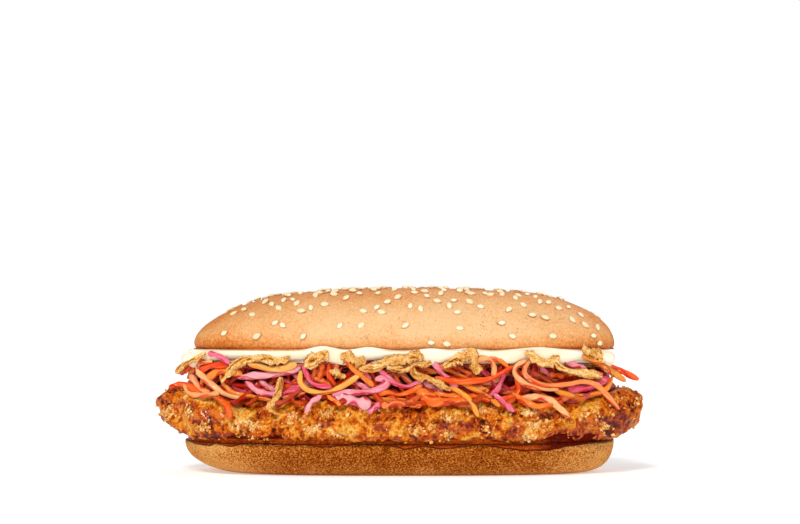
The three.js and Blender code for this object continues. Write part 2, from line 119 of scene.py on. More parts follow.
class Noise:
    """Lattice noise worked out for whole arrays of places."""

    @staticmethod
    def scramble(cells: Array, seed: int) -> Array:
        """A number from 0 to 1 for each whole-number cell: its three indices multiplied
        by primes, mixed by shifts, and read as a fraction."""
        whole = cells.astype(np.int64).astype(np.uint32)
        key = whole[..., 0] * np.uint32(73856093)
        key = key ^ (whole[..., 1] * np.uint32(19349663))
        key = key ^ (whole[..., 2] * np.uint32(83492791))
        key = key ^ np.uint32((seed * 2654435761) & 0xFFFFFFFF)
        for shift, factor in ((16, 0x7FEB352D), (15, 0x846CA68B)):
            key = (key ^ (key >> np.uint32(shift))) * np.uint32(factor)
        key = key ^ (key >> np.uint32(16))
        return key.astype(float) / 4294967296.0

    @classmethod
    def smooth(cls, points: Array, size: float, seed: int) -> Array:
        """Gradient noise from about -1 to 1: each lattice corner has a slope, and the
        slopes' heights are blended across the cell with a smooth weight.

        Args:
            points: Places, (..., 3).
            size: The lattice's spacing.
            seed: Picks the slopes.

        Returns:
            The noise at each place, (...).
        """
        scaled = points / size
        base = np.floor(scaled)
        inside = scaled - base
        fade = inside * inside * inside * (inside * (inside * 6.0 - 15.0) + 10.0)
        total = np.zeros(points.shape[:-1])
        for corner in np.ndindex(2, 2, 2):
            offset = np.array(corner, dtype=float)
            slopes = [cls.scramble(base + offset, seed * 3 + axis) * 2.0 - 1.0 for axis in range(3)]
            height = sum(slopes[axis] * (inside[..., axis] - offset[axis]) for axis in range(3))
            weight = np.prod(np.where(offset > 0.5, fade, 1.0 - fade), axis=-1)
            total += weight * height
        return total * 1.6

    @classmethod
    def layered(cls, points: Array, size: float, octaves: int, seed: int) -> Array:
        """Several layers of gradient noise, each half the size and height of the last."""
        layers = [cls.smooth(points, size / 2**n, seed + n) / 2**n for n in range(octaves)]
        return sum(layers) / (2.0 - 2.0 ** (1 - octaves))

    @classmethod
    def lumps(cls, points: Array, size: float, seed: int) -> tuple[Array, Array]:
        """Rounded lumps: 1 at the middle of each scattered cell, falling with the square
        of the distance to 0 at its edge.

        Args:
            points: Places, (..., 3).
            size: The usual distance between the lumps' middles.
            seed: Picks where they lie.

        Returns:
            The lump's height, and a number from 0 to 1 that is the same all over a lump.
        """
        scaled = points / size
        base = np.floor(scaled)
        nearest = np.full(points.shape[:-1], 9.0)
        own = np.zeros(points.shape[:-1])
        for corner in np.ndindex(3, 3, 3):
            cell = base + np.array(corner, dtype=float) - 1.0
            middle = [cell[..., axis] + cls.scramble(cell, seed * 5 + axis) for axis in range(3)]
            distance = sum((scaled[..., axis] - middle[axis]) ** 2 for axis in range(3))
            closer = distance < nearest
            nearest = np.where(closer, distance, nearest)
            own = np.where(closer, cls.scramble(cell, seed * 5 + 3), own)
        return held(1.0 - nearest / 0.6), own


# ---- outlines and layers


@dataclass(frozen=True)
class Plan:
    """A superellipse seen from above.

    Attributes:
        half_length: Half its length along X.
        half_width: Half its width along Y.
        power: 2 is an ellipse, and more is boxier.
    """

    half_length: float
    half_width: float
    power: float

    def outline(self, count: int) -> Array:
        """Evenly spaced points of |x/a|^n + |y/b|^n = 1, from +X towards +Y, (count, 2)."""
        turn = np.linspace(0.0, 2.0 * math.pi, 4801)
        x = self.half_length * boxed(np.cos(turn), self.power)
        y = self.half_width * boxed(np.sin(turn), self.power)
        length = np.concatenate([[0.0], np.cumsum(np.hypot(np.diff(x), np.diff(y)))])
        wanted = np.linspace(0.0, length[-1], count, endpoint=False)
        return columns(np.interp(wanted, length, x), np.interp(wanted, length, y))

    def reach(self, x: Array | float) -> Array:
        """How far the outline lies from the middle line at x."""
        part = np.abs(np.clip(np.asarray(x) / self.half_length, -1.0, 1.0)) ** self.power
        return self.half_width * (1.0 - part) ** (1.0 / self.power)

    def inset_at(self, x: Array, y: Array) -> Array:
        """How far places lie inside the outline, found by halving."""
        low = np.zeros_like(x)
        high = np.full_like(x, self.half_width - WELD)
        for _ in range(24):
            middle = (low + high) / 2.0
            along = np.abs(x) / (self.half_length - middle)
            across = np.abs(y) / (self.half_width - middle)
            outside = along**self.power + across**self.power > 1.0
            high = np.where(outside, middle, high)
            low = np.where(outside, low, middle)
        return low

    def outward(self, points: Array) -> Array:
        """Level unit directions away from the plan's spine, (..., 3)."""
        spine = self.half_length - self.half_width
        away = points.copy()
        away[..., 0] -= np.clip(points[..., 0], -spine, spine)
        away[..., 2] = 0.0
        return unit(away)


def smooth_path(keys: Array | tuple, counts: list[int]) -> Array:
    """A path through key rows: between two rows it is a cubic that leaves each row in the
    direction from the row before it to the row after it.

    Args:
        keys: The rows, (k, columns).
        counts: How many steps lie between each two rows, k - 1 numbers.

    Returns:
        The path, (sum of counts + 1, columns).
    """
    keys = np.array(keys, dtype=float)
    padded = np.vstack([keys[:1], keys, keys[-1:]])
    parts = []
    for i, count in enumerate(counts):
        before, start, end, after = padded[i : i + 4]
        t = (np.arange(count) / count)[:, None]
        leave = (end - before) / 2.0
        arrive = (after - start) / 2.0
        parts.append(
            (2 * t**3 - 3 * t**2 + 1) * start
            + (t**3 - 2 * t**2 + t) * leave
            + (-2 * t**3 + 3 * t**2) * end
            + (t**3 - t**2) * arrive
        )
    return np.vstack([*parts, keys[-1:]])


@dataclass
class Sheet:
    """Points on a grid, with named numbers at each point.

    Attributes:
        points: Places, (rings, around, 3).
        marks: Named values, each (rings, around).
    """

    points: Array
    marks: dict[str, Array] = field(default_factory=dict)


def loaf(plan: Plan, rings: Array, around: int) -> Array:
    """A layer as rings: each is the plan's outline drawn in by an inset and set at a height,
    and an inset of the half width closes the layer on its spine.

    Args:
        plan: The outline.
        rings: Rows that start with inset and height, (rings, 2 or more).
        around: Points round the outline.

    Returns:
        Places, (rings, around, 3).
    """
    edge = plan.outline(around)
    inset = np.minimum(rings[:, 0], plan.half_width)[:, None]
    x = edge[:, 0] * (1.0 - inset / plan.half_length)
    y = edge[:, 1] * (1.0 - inset / plan.half_width)
    return columns(x, y, rings[:, 1:2])


# ---- meshes


def linked(name: str, data: bpy.types.ID) -> Piece:
    """A new object in the scene that shows this data."""
    piece = bpy.data.objects.new(name, data)
    bpy.context.scene.collection.objects.link(piece)
    return piece


def mesh_object(name: str, points: Array, faces: list[Array], marks: dict[str, Array]) -> Piece:
    """A mesh object at the origin from whole arrays.

    Args:
        name: The object's name.
        points: Places, (n, 3).
        faces: Arrays of corner numbers, each (faces, corners).
        marks: Named numbers at the points, each (n,).

    Returns:
        The object, linked to the scene and smoothly shaded.
    """
    _, first, index = np.unique(
        np.round(points / WELD).astype(np.int64), axis=0, return_index=True, return_inverse=True
    )
    index = index.reshape(-1)
    corners = []
    sizes = []
    for block in faces:
        block = index[block]
        triangles = block
        if block.shape[1] == 4:
            pinched = (block == np.roll(block, -1, axis=1)).any(axis=1)
            corners.append(block[~pinched].reshape(-1))
            sizes.append(np.full((~pinched).sum(), 4))
            quads = block[pinched]
            same = (quads == np.roll(quads, -1, axis=1)).argmax(axis=1)
            order = (same[:, None] + np.array([1, 2, 3])) % 4
            triangles = np.take_along_axis(quads, order, axis=1)
        distinct = (triangles != np.roll(triangles, -1, axis=1)).all(axis=1)
        corners.append(triangles[distinct].reshape(-1))
        sizes.append(np.full(distinct.sum(), 3))
    loops = np.concatenate(corners)
    totals = np.concatenate(sizes)
    starts = np.concatenate([[0], np.cumsum(totals)[:-1]])
    mesh = bpy.data.meshes.new(name)
    mesh.vertices.add(len(first))
    mesh.vertices.foreach_set("co", (points[first] * MM).astype(np.float32).reshape(-1))
    mesh.loops.add(len(loops))
    mesh.loops.foreach_set("vertex_index", loops.astype(np.int32))
    mesh.polygons.add(len(totals))
    mesh.polygons.foreach_set("loop_start", starts.astype(np.int32))
    mesh.update(calc_edges=True)
    mesh.validate()
    for mark, values in marks.items():
        layer = mesh.attributes.new(mark, "FLOAT", "POINT")
        layer.data.foreach_set("value", values[first].astype(np.float32))
    mesh.shade_smooth()
    return linked(name, mesh)


def grid_faces(rings: int, around: int) -> Array:
    """The quads of a grid that is closed round its second direction, turned outwards."""
    ring, column = np.meshgrid(np.arange(rings - 1), np.arange(around), indexing="ij")
    right = (column + 1) % around
    quads = [ring * around + column, ring * around + right]
    quads += [(ring + 1) * around + right, (ring + 1) * around + column]
    return np.stack(quads, axis=-1).reshape(-1, 4)


def swarm_object(name: str, points: Array, marks: dict[str, Array], capped: bool = False) -> Piece:
    """Many closed grids as one mesh object.

    Args:
        name: The object's name.
        points: Places, (count, rings, around, 3).
        marks: Named numbers that spread over (count, rings, around).
        capped: Whether the first and last ring of each are open and need a lid.

    Returns:
        The object.
    """
    count, rings, around = points.shape[:3]
    shift = np.arange(count)[:, None, None] * rings * around
    faces = [(grid_faces(rings, around)[None] + shift).reshape(-1, 4)]
    if capped:
        fan = columns(0, np.arange(1, around - 1), np.arange(2, around))
        faces.append((fan[None, :, ::-1] + shift).reshape(-1, 3))
        faces.append((fan[None] + shift + (rings - 1) * around).reshape(-1, 3))
    flat = {key: np.broadcast_to(values, points.shape[:-1]).reshape(-1) for key, values in marks.items()}
    return mesh_object(name, points.reshape(-1, 3), faces, flat)


def sheet_object(name: str, sheet: Sheet) -> Piece:
    """A closed layer as a mesh object; its first and last ring lie on the spine."""
    return swarm_object(name, sheet.points[None], sheet.marks)


def unit_ball(rings: int, around: int) -> Array:
    """A ball of radius 1 as a grid from its lowest to its highest point, (rings, around, 3)."""
    tilt = np.linspace(0.0, math.pi, rings)[:, None]
    turn = np.linspace(0.0, 2.0 * math.pi, around, endpoint=False)[None, :]
    return columns(np.sin(tilt) * np.cos(turn), np.sin(tilt) * np.sin(turn), -np.cos(tilt))


def normals_of(points: Array) -> Array:
    """Outward unit normals of a closed layer's grid: the cross product of its two
    directions, each the difference of the neighbours on both sides. Those on the spine are
    upright, so that both sides meet there."""
    around = np.roll(points, -1, axis=1) - np.roll(points, 1, axis=1)
    normal = unit(np.cross(around, np.gradient(points, axis=0)))
    normal[0] = (0.0, 0.0, -1.0)
    normal[-1] = (0.0, 0.0, 1.0)
    return normal


def finish_piece(piece: Piece, material: bpy.types.Material, node: str) -> None:
    """Dresses a piece, lets it ride, and hides the solid that it stands for."""
    piece.data.materials.append(material)
    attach(piece, "root")
    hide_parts(node)
    piece.data.calc_loop_triangles()
    LOG.info("%s: %d triangles", piece.name, len(piece.data.loop_triangles))


# ---- colours and shaders


def tone(red: int, green: int, blue: int) -> tuple[float, float, float, float]:
    """The linear surface colour that looks like this one, 0 to 255, under the studio's
    light, which is LIGHT_LEVEL times as bright as white."""
    linear = [
        (c / 255.0) / 12.92 if c <= 10 else ((c / 255.0 + 0.055) / 1.055) ** 2.4
        for c in (red, green, blue)
    ]
    return (*(part / LIGHT_LEVEL for part in linear), 1.0)


def tones(*colours: tuple[int, int, int]) -> tuple:
    """The tones of several colours."""
    return tuple(tone(*colour) for colour in colours)


class Recipe:
    """A node tree with short ways to add and join its nodes."""

    def __init__(self, tree: bpy.types.NodeTree) -> None:
        """Works on a tree that holds no nodes yet."""
        self.tree = tree

    def node(self, kind: str, settings: dict | None = None, **values) -> bpy.types.Node:
        """Adds a node.

        Args:
            kind: The node's type name.
            settings: Properties of the node itself.
            **values: Inputs by name, with _ for a space: a socket is linked, a number set.

        Returns:
            The node.
        """
        node = self.tree.nodes.new(kind)
        for key, value in (settings or {}).items():
            setattr(node, key, value)
        for key, value in values.items():
            self.feed(node.inputs[key.replace("_", " ")], value)
        return node

    def feed(self, target: Socket, value) -> None:
        """Links a socket to an input, or sets the input to a number or colour."""
        if isinstance(value, Socket):
            self.tree.links.new(value, target)
        else:
            target.default_value = value

    def place(self) -> Socket:
        """The surface's own place in the row frame, in metres."""
        return self.node("ShaderNodeTexCoord").outputs["Object"]

    def mark(self, name: str) -> Socket:
        """A named number that the mesh carries."""
        return self.node("ShaderNodeAttribute", {"attribute_name": name}).outputs["Fac"]

    def maths(self, operation: str, first, second=0.0, clamp: bool = False) -> Socket:
        """One sum of two numbers or sockets."""
        node = self.node("ShaderNodeMath", {"operation": operation, "use_clamp": clamp})
        self.feed(node.inputs[0], first)
        self.feed(node.inputs[1], second)
        return node.outputs[0]

    def times(self, first, second) -> Socket:
        """The product of two numbers or sockets."""
        return self.maths("MULTIPLY", first, second)

    def plus(self, first, second, share: float) -> Socket:
        """The first number or socket and a share of the second, added up."""
        return self.maths("ADD", first, self.times(second, share))

    def noise(self, place, size: float, detail: float = 2.0, roughness: float = 0.5) -> Socket:
        """Cloudy noise from 0 to 1 whose blotches are about size millimetres."""
        settings = {"Scale": 1.0 / (size * MM), "Detail": detail, "Roughness": roughness}
        return self.node("ShaderNodeTexNoise", Vector=place, **settings).outputs["Fac"]

    def sway(self, place, size: float, detail: float = 2.0, roughness: float = 0.5) -> Socket:
        """The same noise about 0."""
        return self.maths("SUBTRACT", self.noise(place, size, detail, roughness), 0.5)

    def spread(self, value, low: float, high: float) -> Socket:
        """A value stretched so that low becomes 0 and high becomes 1, clamped."""
        node = self.node("ShaderNodeMapRange", {"interpolation_type": "SMOOTHSTEP"}, Value=value)
        node.inputs["From Min"].default_value = low
        node.inputs["From Max"].default_value = high
        return node.outputs["Result"]

    def mix(self, factor, first, second, blend: str = "MIX") -> Socket:
        """Two colours mixed by a factor."""
        node = self.node("ShaderNodeMix", {"data_type": "RGBA", "blend_type": blend})
        self.feed(node.inputs[0], factor)
        self.feed(node.inputs[6], first)
        self.feed(node.inputs[7], second)
        return node.outputs[2]

    def scale(self, value, stops: list[tuple[float, tuple]]) -> Socket:
        """A colour read from a value, along stops of position and colour."""
        node = self.node("ShaderNodeValToRGB", Fac=value)
        elements = node.color_ramp.elements
        while len(elements) < len(stops):
            elements.new(0.5)
        for element, (position, colour) in zip(elements, stops):
            element.position = position
            element.color = colour
        return node.outputs["Color"]

    def shades(self, value, colours: tuple) -> Socket:
        """A colour read from a value, along evenly spaced colours."""
        last = len(colours) - 1
        return self.scale(value, [(i / last, colour) for i, colour in enumerate(colours)])

    def bump(self, height, depth: float) -> Socket:
        """A normal from a height, where a height of 1 stands depth millimetres proud."""
        node = self.node("ShaderNodeBump", Height=height, Strength=1.0, Distance=depth * MM)
        return node.outputs["Normal"]


class Effects:
    """Node groups that several finishes share, each built once."""

    made: dict[str, bpy.types.NodeTree] = {}

    @classmethod
    def tree(cls, name: str, inputs: dict, output: str) -> tuple[Recipe, dict, bpy.types.Node]:
        """A new group with its sockets.

        Args:
            name: The group's name.
            inputs: Each input and its usual number, or None for a place.
            output: The name of its one output.

        Returns:
            The recipe to fill, the input sockets by name, and the group's output node.
        """
        group = bpy.data.node_groups.new(name, "ShaderNodeTree")
        for key, value in inputs.items():
            kind = "NodeSocketVector" if value is None else "NodeSocketFloat"
            socket = group.interface.new_socket(name=key, in_out="INPUT", socket_type=kind)
            if value is not None:
                socket.default_value = value
        group.interface.new_socket(name=output, in_out="OUTPUT", socket_type="NodeSocketFloat")
        recipe = Recipe(group)
        start = recipe.node("NodeGroupInput")
        end = recipe.node("NodeGroupOutput")
        cls.made[name] = group
        return recipe, {key: start.outputs[key] for key in inputs}, end

    @classmethod
    def use(cls, recipe: Recipe, name: str, **values) -> Socket:
        """Places a group in a material and returns its output."""
        if name not in cls.made:
            getattr(cls, name)()
        node = recipe.node("ShaderNodeGroup", {"node_tree": cls.made[name]}, **values)
        return node.outputs[0]

    @classmethod
    def speckle(cls) -> None:
        """Small soft dots: fine noise cut at a level that a broader noise raises and lowers."""
        inputs = {"Place": None, "Size": 1.0, "Amount": 0.5, "Patch": 10.0}
        recipe, given, end = cls.tree("speckle", inputs, "Mask")
        dots = recipe.node("ShaderNodeTexNoise", Vector=given["Place"], Detail=1.5)
        recipe.feed(dots.inputs["Scale"], recipe.maths("DIVIDE", 1.0 / MM, given["Size"]))
        patch = recipe.node("ShaderNodeTexNoise", Vector=given["Place"], Detail=1.0)
        recipe.feed(patch.inputs["Scale"], recipe.maths("DIVIDE", 1.0 / MM, given["Patch"]))
        level = recipe.maths("SUBTRACT", patch.outputs["Fac"], 0.5)
        raised = recipe.plus(dots.outputs["Fac"], level, 0.35)
        edge = recipe.maths("SUBTRACT", 0.92, recipe.times(given["Amount"], 0.5))
        over = recipe.maths("SUBTRACT", raised, edge)
        recipe.feed(end.inputs["Mask"], recipe.maths("MULTIPLY", over, 9.0, clamp=True))

    @classmethod
    def grain(cls) -> None:
        """A rough skin's height: two sizes of noise, the finer at half the height."""
        recipe, given, end = cls.tree("grain", {"Place": None, "Size": 1.0}, "Height")
        scale = recipe.maths("DIVIDE", 1.0 / MM, given["Size"])
        coarse = recipe.node("ShaderNodeTexNoise", Vector=given["Place"], Detail=3.0, Scale=scale)
        finer = recipe.times(scale, 2.7)
        fine = recipe.node("ShaderNodeTexNoise", Vector=given["Place"], Detail=2.0, Scale=finer)
        height = recipe.plus(coarse.outputs["Fac"], fine.outputs["Fac"], 0.5)
        recipe.feed(end.inputs["Height"], height)

    @classmethod
    def fibre(cls) -> None:
        """Streaks that run along a strip: noise on its own run and girth, drawn out along it."""
        inputs = {"Run": 0.0, "Girth": 0.0, "Lot": 0.0, "Fineness": 6.0}
        recipe, given, end = cls.tree("fibre", inputs, "Mask")
        across = recipe.times(given["Girth"], given["Fineness"])
        along = recipe.times(given["Run"], 0.22)
        lot = recipe.times(given["Lot"], 40.0)
        place = recipe.node("ShaderNodeCombineXYZ", X=along, Y=across, Z=lot).outputs["Vector"]
        streaks = recipe.node("ShaderNodeTexNoise", Vector=place, Scale=1.0, Detail=3.0)
        recipe.feed(end.inputs["Mask"], streaks.outputs["Fac"])

    @classmethod
    def fibres_of(cls, recipe: Recipe, fineness: float) -> Socket:
        """The streaks of the strip that carries the marks run, girth and lot."""
        marks = {key: recipe.mark(key.lower()) for key in ("Run", "Girth", "Lot")}
        return cls.use(recipe, "fibre", Fineness=fineness, **marks)


@dataclass(frozen=True)
class Finish:
    """What every finish has: the numbers that are the same all over its surface.

    Attributes:
        name: The material's name.
        rough: Roughness where nothing changes it.
        mirror: How strongly the surface itself reflects; 0.5 is a usual one.
        coat: How much of a wet coat lies over it.
        flesh: How much light goes through it and comes out again.
        glow: How far that light travels, for red, green and blue.
    """

    name: str
    rough: float = 0.5
    mirror: float = 0.08
    coat: float = 0.0
    flesh: float = 0.0
    glow: tuple[float, float, float] = (1.0, 0.5, 0.25)

    def material(self) -> bpy.types.Material:
        """The material, with its shader set and joined to what paint() gives."""
        material = bpy.data.materials.new(self.name)
        material.use_nodes = True
        material.node_tree.nodes.clear()
        recipe = Recipe(material.node_tree)
        shader = recipe.node("ShaderNodeBsdfPrincipled", Roughness=self.rough, IOR=1.45)
        same_all_over = {
            "Specular IOR Level": self.mirror,
            "Coat Weight": self.coat,
            "Coat Roughness": 0.1,
            "Subsurface Weight": self.flesh,
            "Subsurface Radius": self.glow,
            "Subsurface Scale": MM,
        }
        for key, value in (same_all_over | self.paint(recipe)).items():
            recipe.feed(shader.inputs[key], value)
        recipe.node("ShaderNodeOutputMaterial", Surface=shader.outputs["BSDF"])
        return material

    def paint(self, recipe: Recipe) -> Inputs:
        """The shader inputs that change over the surface, by name."""
        raise NotImplementedError


@dataclass(frozen=True)
class BreadFinish(Finish):
    """Baked bread: its bake mark picks from pale to brown, partly as painted light and shade,
    with freckles and a fine skin.

    Attributes:
        shades: Colours from the least to the most baked.
        freckle: The colour of its small dark dots.
        freckles: How many there are, from 0 to 1.
        freckle_size: How large they are.
        skin: The size of its fine relief.
        skin_depth: How deep that relief is.
        mottle: How much the colour varies from place to place.
    """

    shades: tuple = ()
    freckle: tuple = (0.0, 0.0, 0.0, 1.0)
    freckles: float = 0.5
    freckle_size: float = 0.5
    skin: float = 1.0
    skin_depth: float = 0.1
    mottle: float = 0.15

    def paint(self, recipe: Recipe) -> Inputs:
        """Colour from the bake mark, which holds painted light and shade too, and
        blotches, freckles over it, and a fine bump.
        """
        place = recipe.place()
        # The bake mark carries painted light and shade as well as the browning.
        baked = recipe.plus(recipe.mark("bake"), recipe.sway(place, 9.0, 4.0, 0.6), 0.3)
        baked = recipe.plus(baked, recipe.sway(place, self.skin, 3.0, 0.7), 1.6 * self.mottle)
        colour = recipe.shades(baked, self.shades)
        amount = {"Place": place, "Size": self.freckle_size, "Amount": self.freckles, "Patch": 7.0}
        dots = Effects.use(recipe, "speckle", **amount)
        colour = recipe.mix(recipe.times(dots, 0.75), colour, self.freckle)
        height = Effects.use(recipe, "grain", Place=place, Size=self.skin)
        return {"Base Color": colour, "Normal": recipe.bump(height, self.skin_depth)}


@dataclass(frozen=True)
class SeedFinish(Finish):
    """Sesame: creamy, each seed a little different, browner along its edge as painted shade."""

    def paint(self, recipe: Recipe) -> Inputs:
        """Colour from each seed's lot, browner along its sides as painted shade, over a fine grain."""
        cream = recipe.mix(recipe.mark("lot"), (0.9, 0.79, 0.56, 1.0), (0.82, 0.65, 0.39, 1.0))
        # Painted shade: the rim mark is highest round the seed's sides, which turn brown.
        rim = recipe.spread(recipe.mark("rim"), 0.42, 0.95)
        colour = recipe.mix(recipe.times(rim, 0.85), cream, tone(190, 112, 44))
        height = Effects.use(recipe, "grain", Place=recipe.place(), Size=0.5)
        return {"Base Color": colour, "Normal": recipe.bump(height, 0.05)}


@dataclass(frozen=True)
class CreamFinish(Finish):
    """Mayonnaise: smooth and nearly white, a little yellower in broad blotches."""

    def paint(self, recipe: Recipe) -> Inputs:
        """Colour from a broad noise, with a barely uneven skin."""
        place = recipe.place()
        warm = recipe.spread(recipe.noise(place, 16.0, 2.0), 0.35, 0.7)
        colour = recipe.mix(warm, (0.92, 0.84, 0.66, 1.0), (0.86, 0.71, 0.48, 1.0))
        return {"Base Color": colour, "Normal": recipe.bump(recipe.noise(place, 3.0), 0.12)}


@dataclass(frozen=True)
class CrumbFinish(Finish):
    """Fried crumb: golden, darker in its cracks as painted shade, red-brown where glazed, cream in clusters.
    """

    def paint(self, recipe: Recipe) -> Inputs:
        """Colour from the relief, glaze and cream marks and fine noise, darker where the relief is low
        as painted shade; glaze shines.
        """
        dry = [(0.06, tone(66, 12, 0)), (0.26, tone(142, 42, 0)), (0.44, tone(204, 84, 2))]
        dry += [(0.6, tone(238, 122, 10)), (0.76, tone(252, 162, 38)), (0.95, tone(255, 208, 104))]
        sticky = [(0.1, tone(56, 5, 0)), (0.4, tone(120, 26, 1))]
        sticky += [(0.6, tone(182, 62, 4)), (0.85, tone(240, 126, 26))]
        creamy = [(0.2, (0.4, 0.07, 0.002, 1.0)), (0.5, (0.95, 0.38, 0.06, 1.0))]
        creamy += [(0.8, (1.0, 0.68, 0.3, 1.0))]
        place = recipe.place()
        fine = recipe.sway(place, 0.8, 4.0, 0.75)
        level = recipe.plus(recipe.mark("relief"), fine, 1.3)
        level = recipe.plus(level, recipe.sway(place, 5.0, 3.0, 0.6), 0.6)
        wet = recipe.spread(recipe.plus(recipe.mark("glaze"), fine, 0.6), 0.2, 0.7)
        pale = recipe.spread(recipe.plus(recipe.mark("cream"), fine, 0.8), 0.32, 0.8)
        colour = recipe.mix(wet, recipe.scale(level, dry), recipe.scale(level, sticky))
        colour = recipe.mix(pale, colour, recipe.scale(level, creamy))
        height = Effects.use(recipe, "grain", Place=place, Size=0.7)
        return {
            "Base Color": colour,
            "Roughness": recipe.maths("SUBTRACT", 0.42, recipe.times(wet, 0.12)),
            "Coat Weight": recipe.plus(0.1, wet, 0.26),
            "Normal": recipe.bump(height, 0.55),
        }


@dataclass(frozen=True)
class GlazeFinish(Finish):
    """A clear dark sauce: nearly black where it is thick and right under the patty, partly as
    painted shadow, and where it is a film it shows the bread under it, with a dark line along its edge."""

    def paint(self, recipe: Recipe) -> Inputs:
        """Colour from the film and edge marks, over a grain like the bread's."""
        crust = [(0.2, tone(134, 42, 3)), (0.5, tone(180, 72, 12)), (0.8, tone(214, 102, 30))]
        place = recipe.place()
        bread = recipe.scale(recipe.plus(0.5, recipe.sway(place, 0.85, 3.0, 0.7), 1.5), crust)
        film = recipe.plus(recipe.mark("film"), recipe.sway(place, 2.2, 3.0), 0.5)
        # Nearly black where the film mark is low: thick sauce, and partly painted shadow under the patty.
        colour = recipe.mix(recipe.spread(film, 0.15, 0.8), tone(94, 12, 0), bread)
        line = recipe.times(recipe.spread(recipe.mark("edge"), 0.4, 0.85), 0.85)
        colour = recipe.mix(line, colour, tone(86, 16, 0))
        gleam = recipe.spread(recipe.noise(place, 1.3, 2.0), 0.57, 0.62)
        return {
            "Base Color": colour,
            "Coat Weight": recipe.times(gleam, 0.3),
            "Normal": recipe.bump(recipe.noise(place, 1.6, 2.0), 1.2),
        }


@dataclass(frozen=True)
class ShredFinish(Finish):
    """A moist vegetable strip, coloured by its lot, with streaks along it.

    Attributes:
        shades: Colours that the strips' lots run through.
        edge: The colour towards the strip's narrow sides and ends, partly painted shade.
        streak: The colour of its fibres, partly a painted highlight.
        shade: Painted shade: how much of red, green and blue is left deep in the heap.
        juice: How far its juice strengthens red, green and blue.
    """

    shades: tuple = ()
    edge: tuple = (0.0, 0.0, 0.0, 1.0)
    streak: tuple = (0.0, 0.0, 0.0, 1.0)
    shade: tuple = (0.46, 0.05, 0.02, 1.0)
    juice: tuple = (1.16, 0.98, 0.84, 1.0)

    def paint(self, recipe: Recipe) -> Inputs:
        """Colour by lot; deeper at the sides and paler in streaks along it, partly as painted shade and
        highlight; and darkened by painted shade deep in the heap.
        """
        colour = recipe.shades(recipe.mark("lot"), self.shades)
        fibres = Effects.fibres_of(recipe, 7.0)
        # Deeper colour at the narrow sides: partly the strip's own, partly painted shade.
        blush = recipe.spread(recipe.maths("ADD", recipe.mark("side"), fibres), 0.75, 1.45)
        colour = recipe.mix(blush, colour, self.edge)
        # Paler streaks along the fibres, partly painted highlight.
        colour = recipe.mix(recipe.spread(fibres, 0.5, 0.75), colour, self.streak)
        # Painted shade: the deep mark darkens strips that lie deep in the heap.
        colour = recipe.mix(recipe.mark("deep"), colour, self.shade, "MULTIPLY")
        colour = recipe.mix(1.0, colour, self.juice, "MULTIPLY")
        rough = recipe.plus(self.rough, fibres, 0.12)
        return {"Base Color": colour, "Roughness": rough, "Normal": recipe.bump(fibres, 0.16)}


@dataclass(frozen=True)
class BatterFinish(Finish):
    """Fried onion: thin crumpled batter, golden with pale crests as painted light, brown edges and specks.
    """

    def paint(self, recipe: Recipe) -> Inputs:
        """Colour from relief and each piece's lot, browner in hollows as painted shade and in small specks.
        """
        fried = [(0.08, (0.16, 0.028, 0.002, 1.0)), (0.3, (0.46, 0.14, 0.016, 1.0))]
        fried += [(0.5, (0.8, 0.37, 0.08, 1.0)), (0.7, (0.92, 0.53, 0.17, 1.0))]
        fried += [(0.95, (1.0, 0.74, 0.38, 1.0))]
        place = recipe.place()
        level = recipe.plus(recipe.mark("relief"), recipe.sway(place, 0.8, 4.0, 0.75), 1.5)
        streaks = recipe.maths("SUBTRACT", Effects.fibres_of(recipe, 5.0), 0.5)
        colour = recipe.scale(recipe.plus(level, streaks, 0.9), fried)
        brown = recipe.times(recipe.spread(recipe.mark("lot"), 0.4, 1.0), 0.35)
        colour = recipe.mix(brown, colour, tone(226, 146, 50))
        rim = recipe.times(recipe.spread(recipe.mark("side"), 0.5, 1.0), 0.6)
        colour = recipe.mix(rim, colour, tone(196, 112, 30))
        dots = Effects.use(recipe, "speckle", Place=place, Size=0.5, Amount=0.72, Patch=4.0)
        colour = recipe.mix(recipe.times(dots, 0.6), colour, tone(128, 62, 12))
        height = Effects.use(recipe, "grain", Place=place, Size=0.6)
        return {"Base Color": colour, "Normal": recipe.bump(height, 0.45)}


@dataclass(frozen=True)
class HeartFinish(Finish):
    """The wet dark red inside of the heap, between its shreds, mostly painted shade that stands
    for the shadow deep in the tangle.
    """

    def paint(self, recipe: Recipe) -> Inputs:
        """Deep reds from a cloudy noise over a lumpy skin, as painted shade."""
        reds = [(0.35, tone(44, 1, 0)), (0.55, tone(94, 8, 1)), (0.75, tone(152, 36, 8))]
        cloud = recipe.noise(recipe.place(), 4.0, 3.0)
        return {"Base Color": recipe.scale(cloud, reds), "Normal": recipe.bump(cloud, 0.6)}


# ---- the roll

ROLL = Plan(85.2, 38.0, 2.7)

# Seeds on the front of the crust, given one by one: x and height.
FRONT_SEEDS = (
    (-68, 55), (-55, 54), (-48, 59), (-45, 58), (-37, 54), (-23, 58), (-15, 58), (-7, 63), (2, 58),
    (12, 51.5), (18, 50.5), (22, 63), (23, 57), (39, 59), (43, 54), (42, 64), (51, 62), (56, 61),
    (59, 54), (67, 60), (72, 58), (75, 54), (77.5, 50.5), (-53, 67), (-50, 66), (-47, 64.5), (-42, 68),
    (-40, 66.5), (-38, 63.5), (-29, 66), (-21, 68.5), (-14, 63.4), (-5, 67), (-9, 64.8), (-1, 68.8),
    (4, 65.5), (8, 64.2), (10.5, 69.3), (14.5, 67.3), (19, 65.6), (21, 67.6), (27, 67), (31, 65.2),
    (35.5, 69.8), (40, 70), (48, 65.8), (54.6, 67), (62, 64.5), (70.5, 62), (77, 57), (-61, 64),
    (-57.5, 62), (-33, 69.5), (-26, 70), (-16, 70.3), (5.5, 70.6), (45, 68.6), (58, 66.8), (66, 65),
    (-65, 62.5), (-34.5, 64.8), (16, 70.4), (28, 70.2), (-8.5, 70.4), (-45.5, 67.6),
)


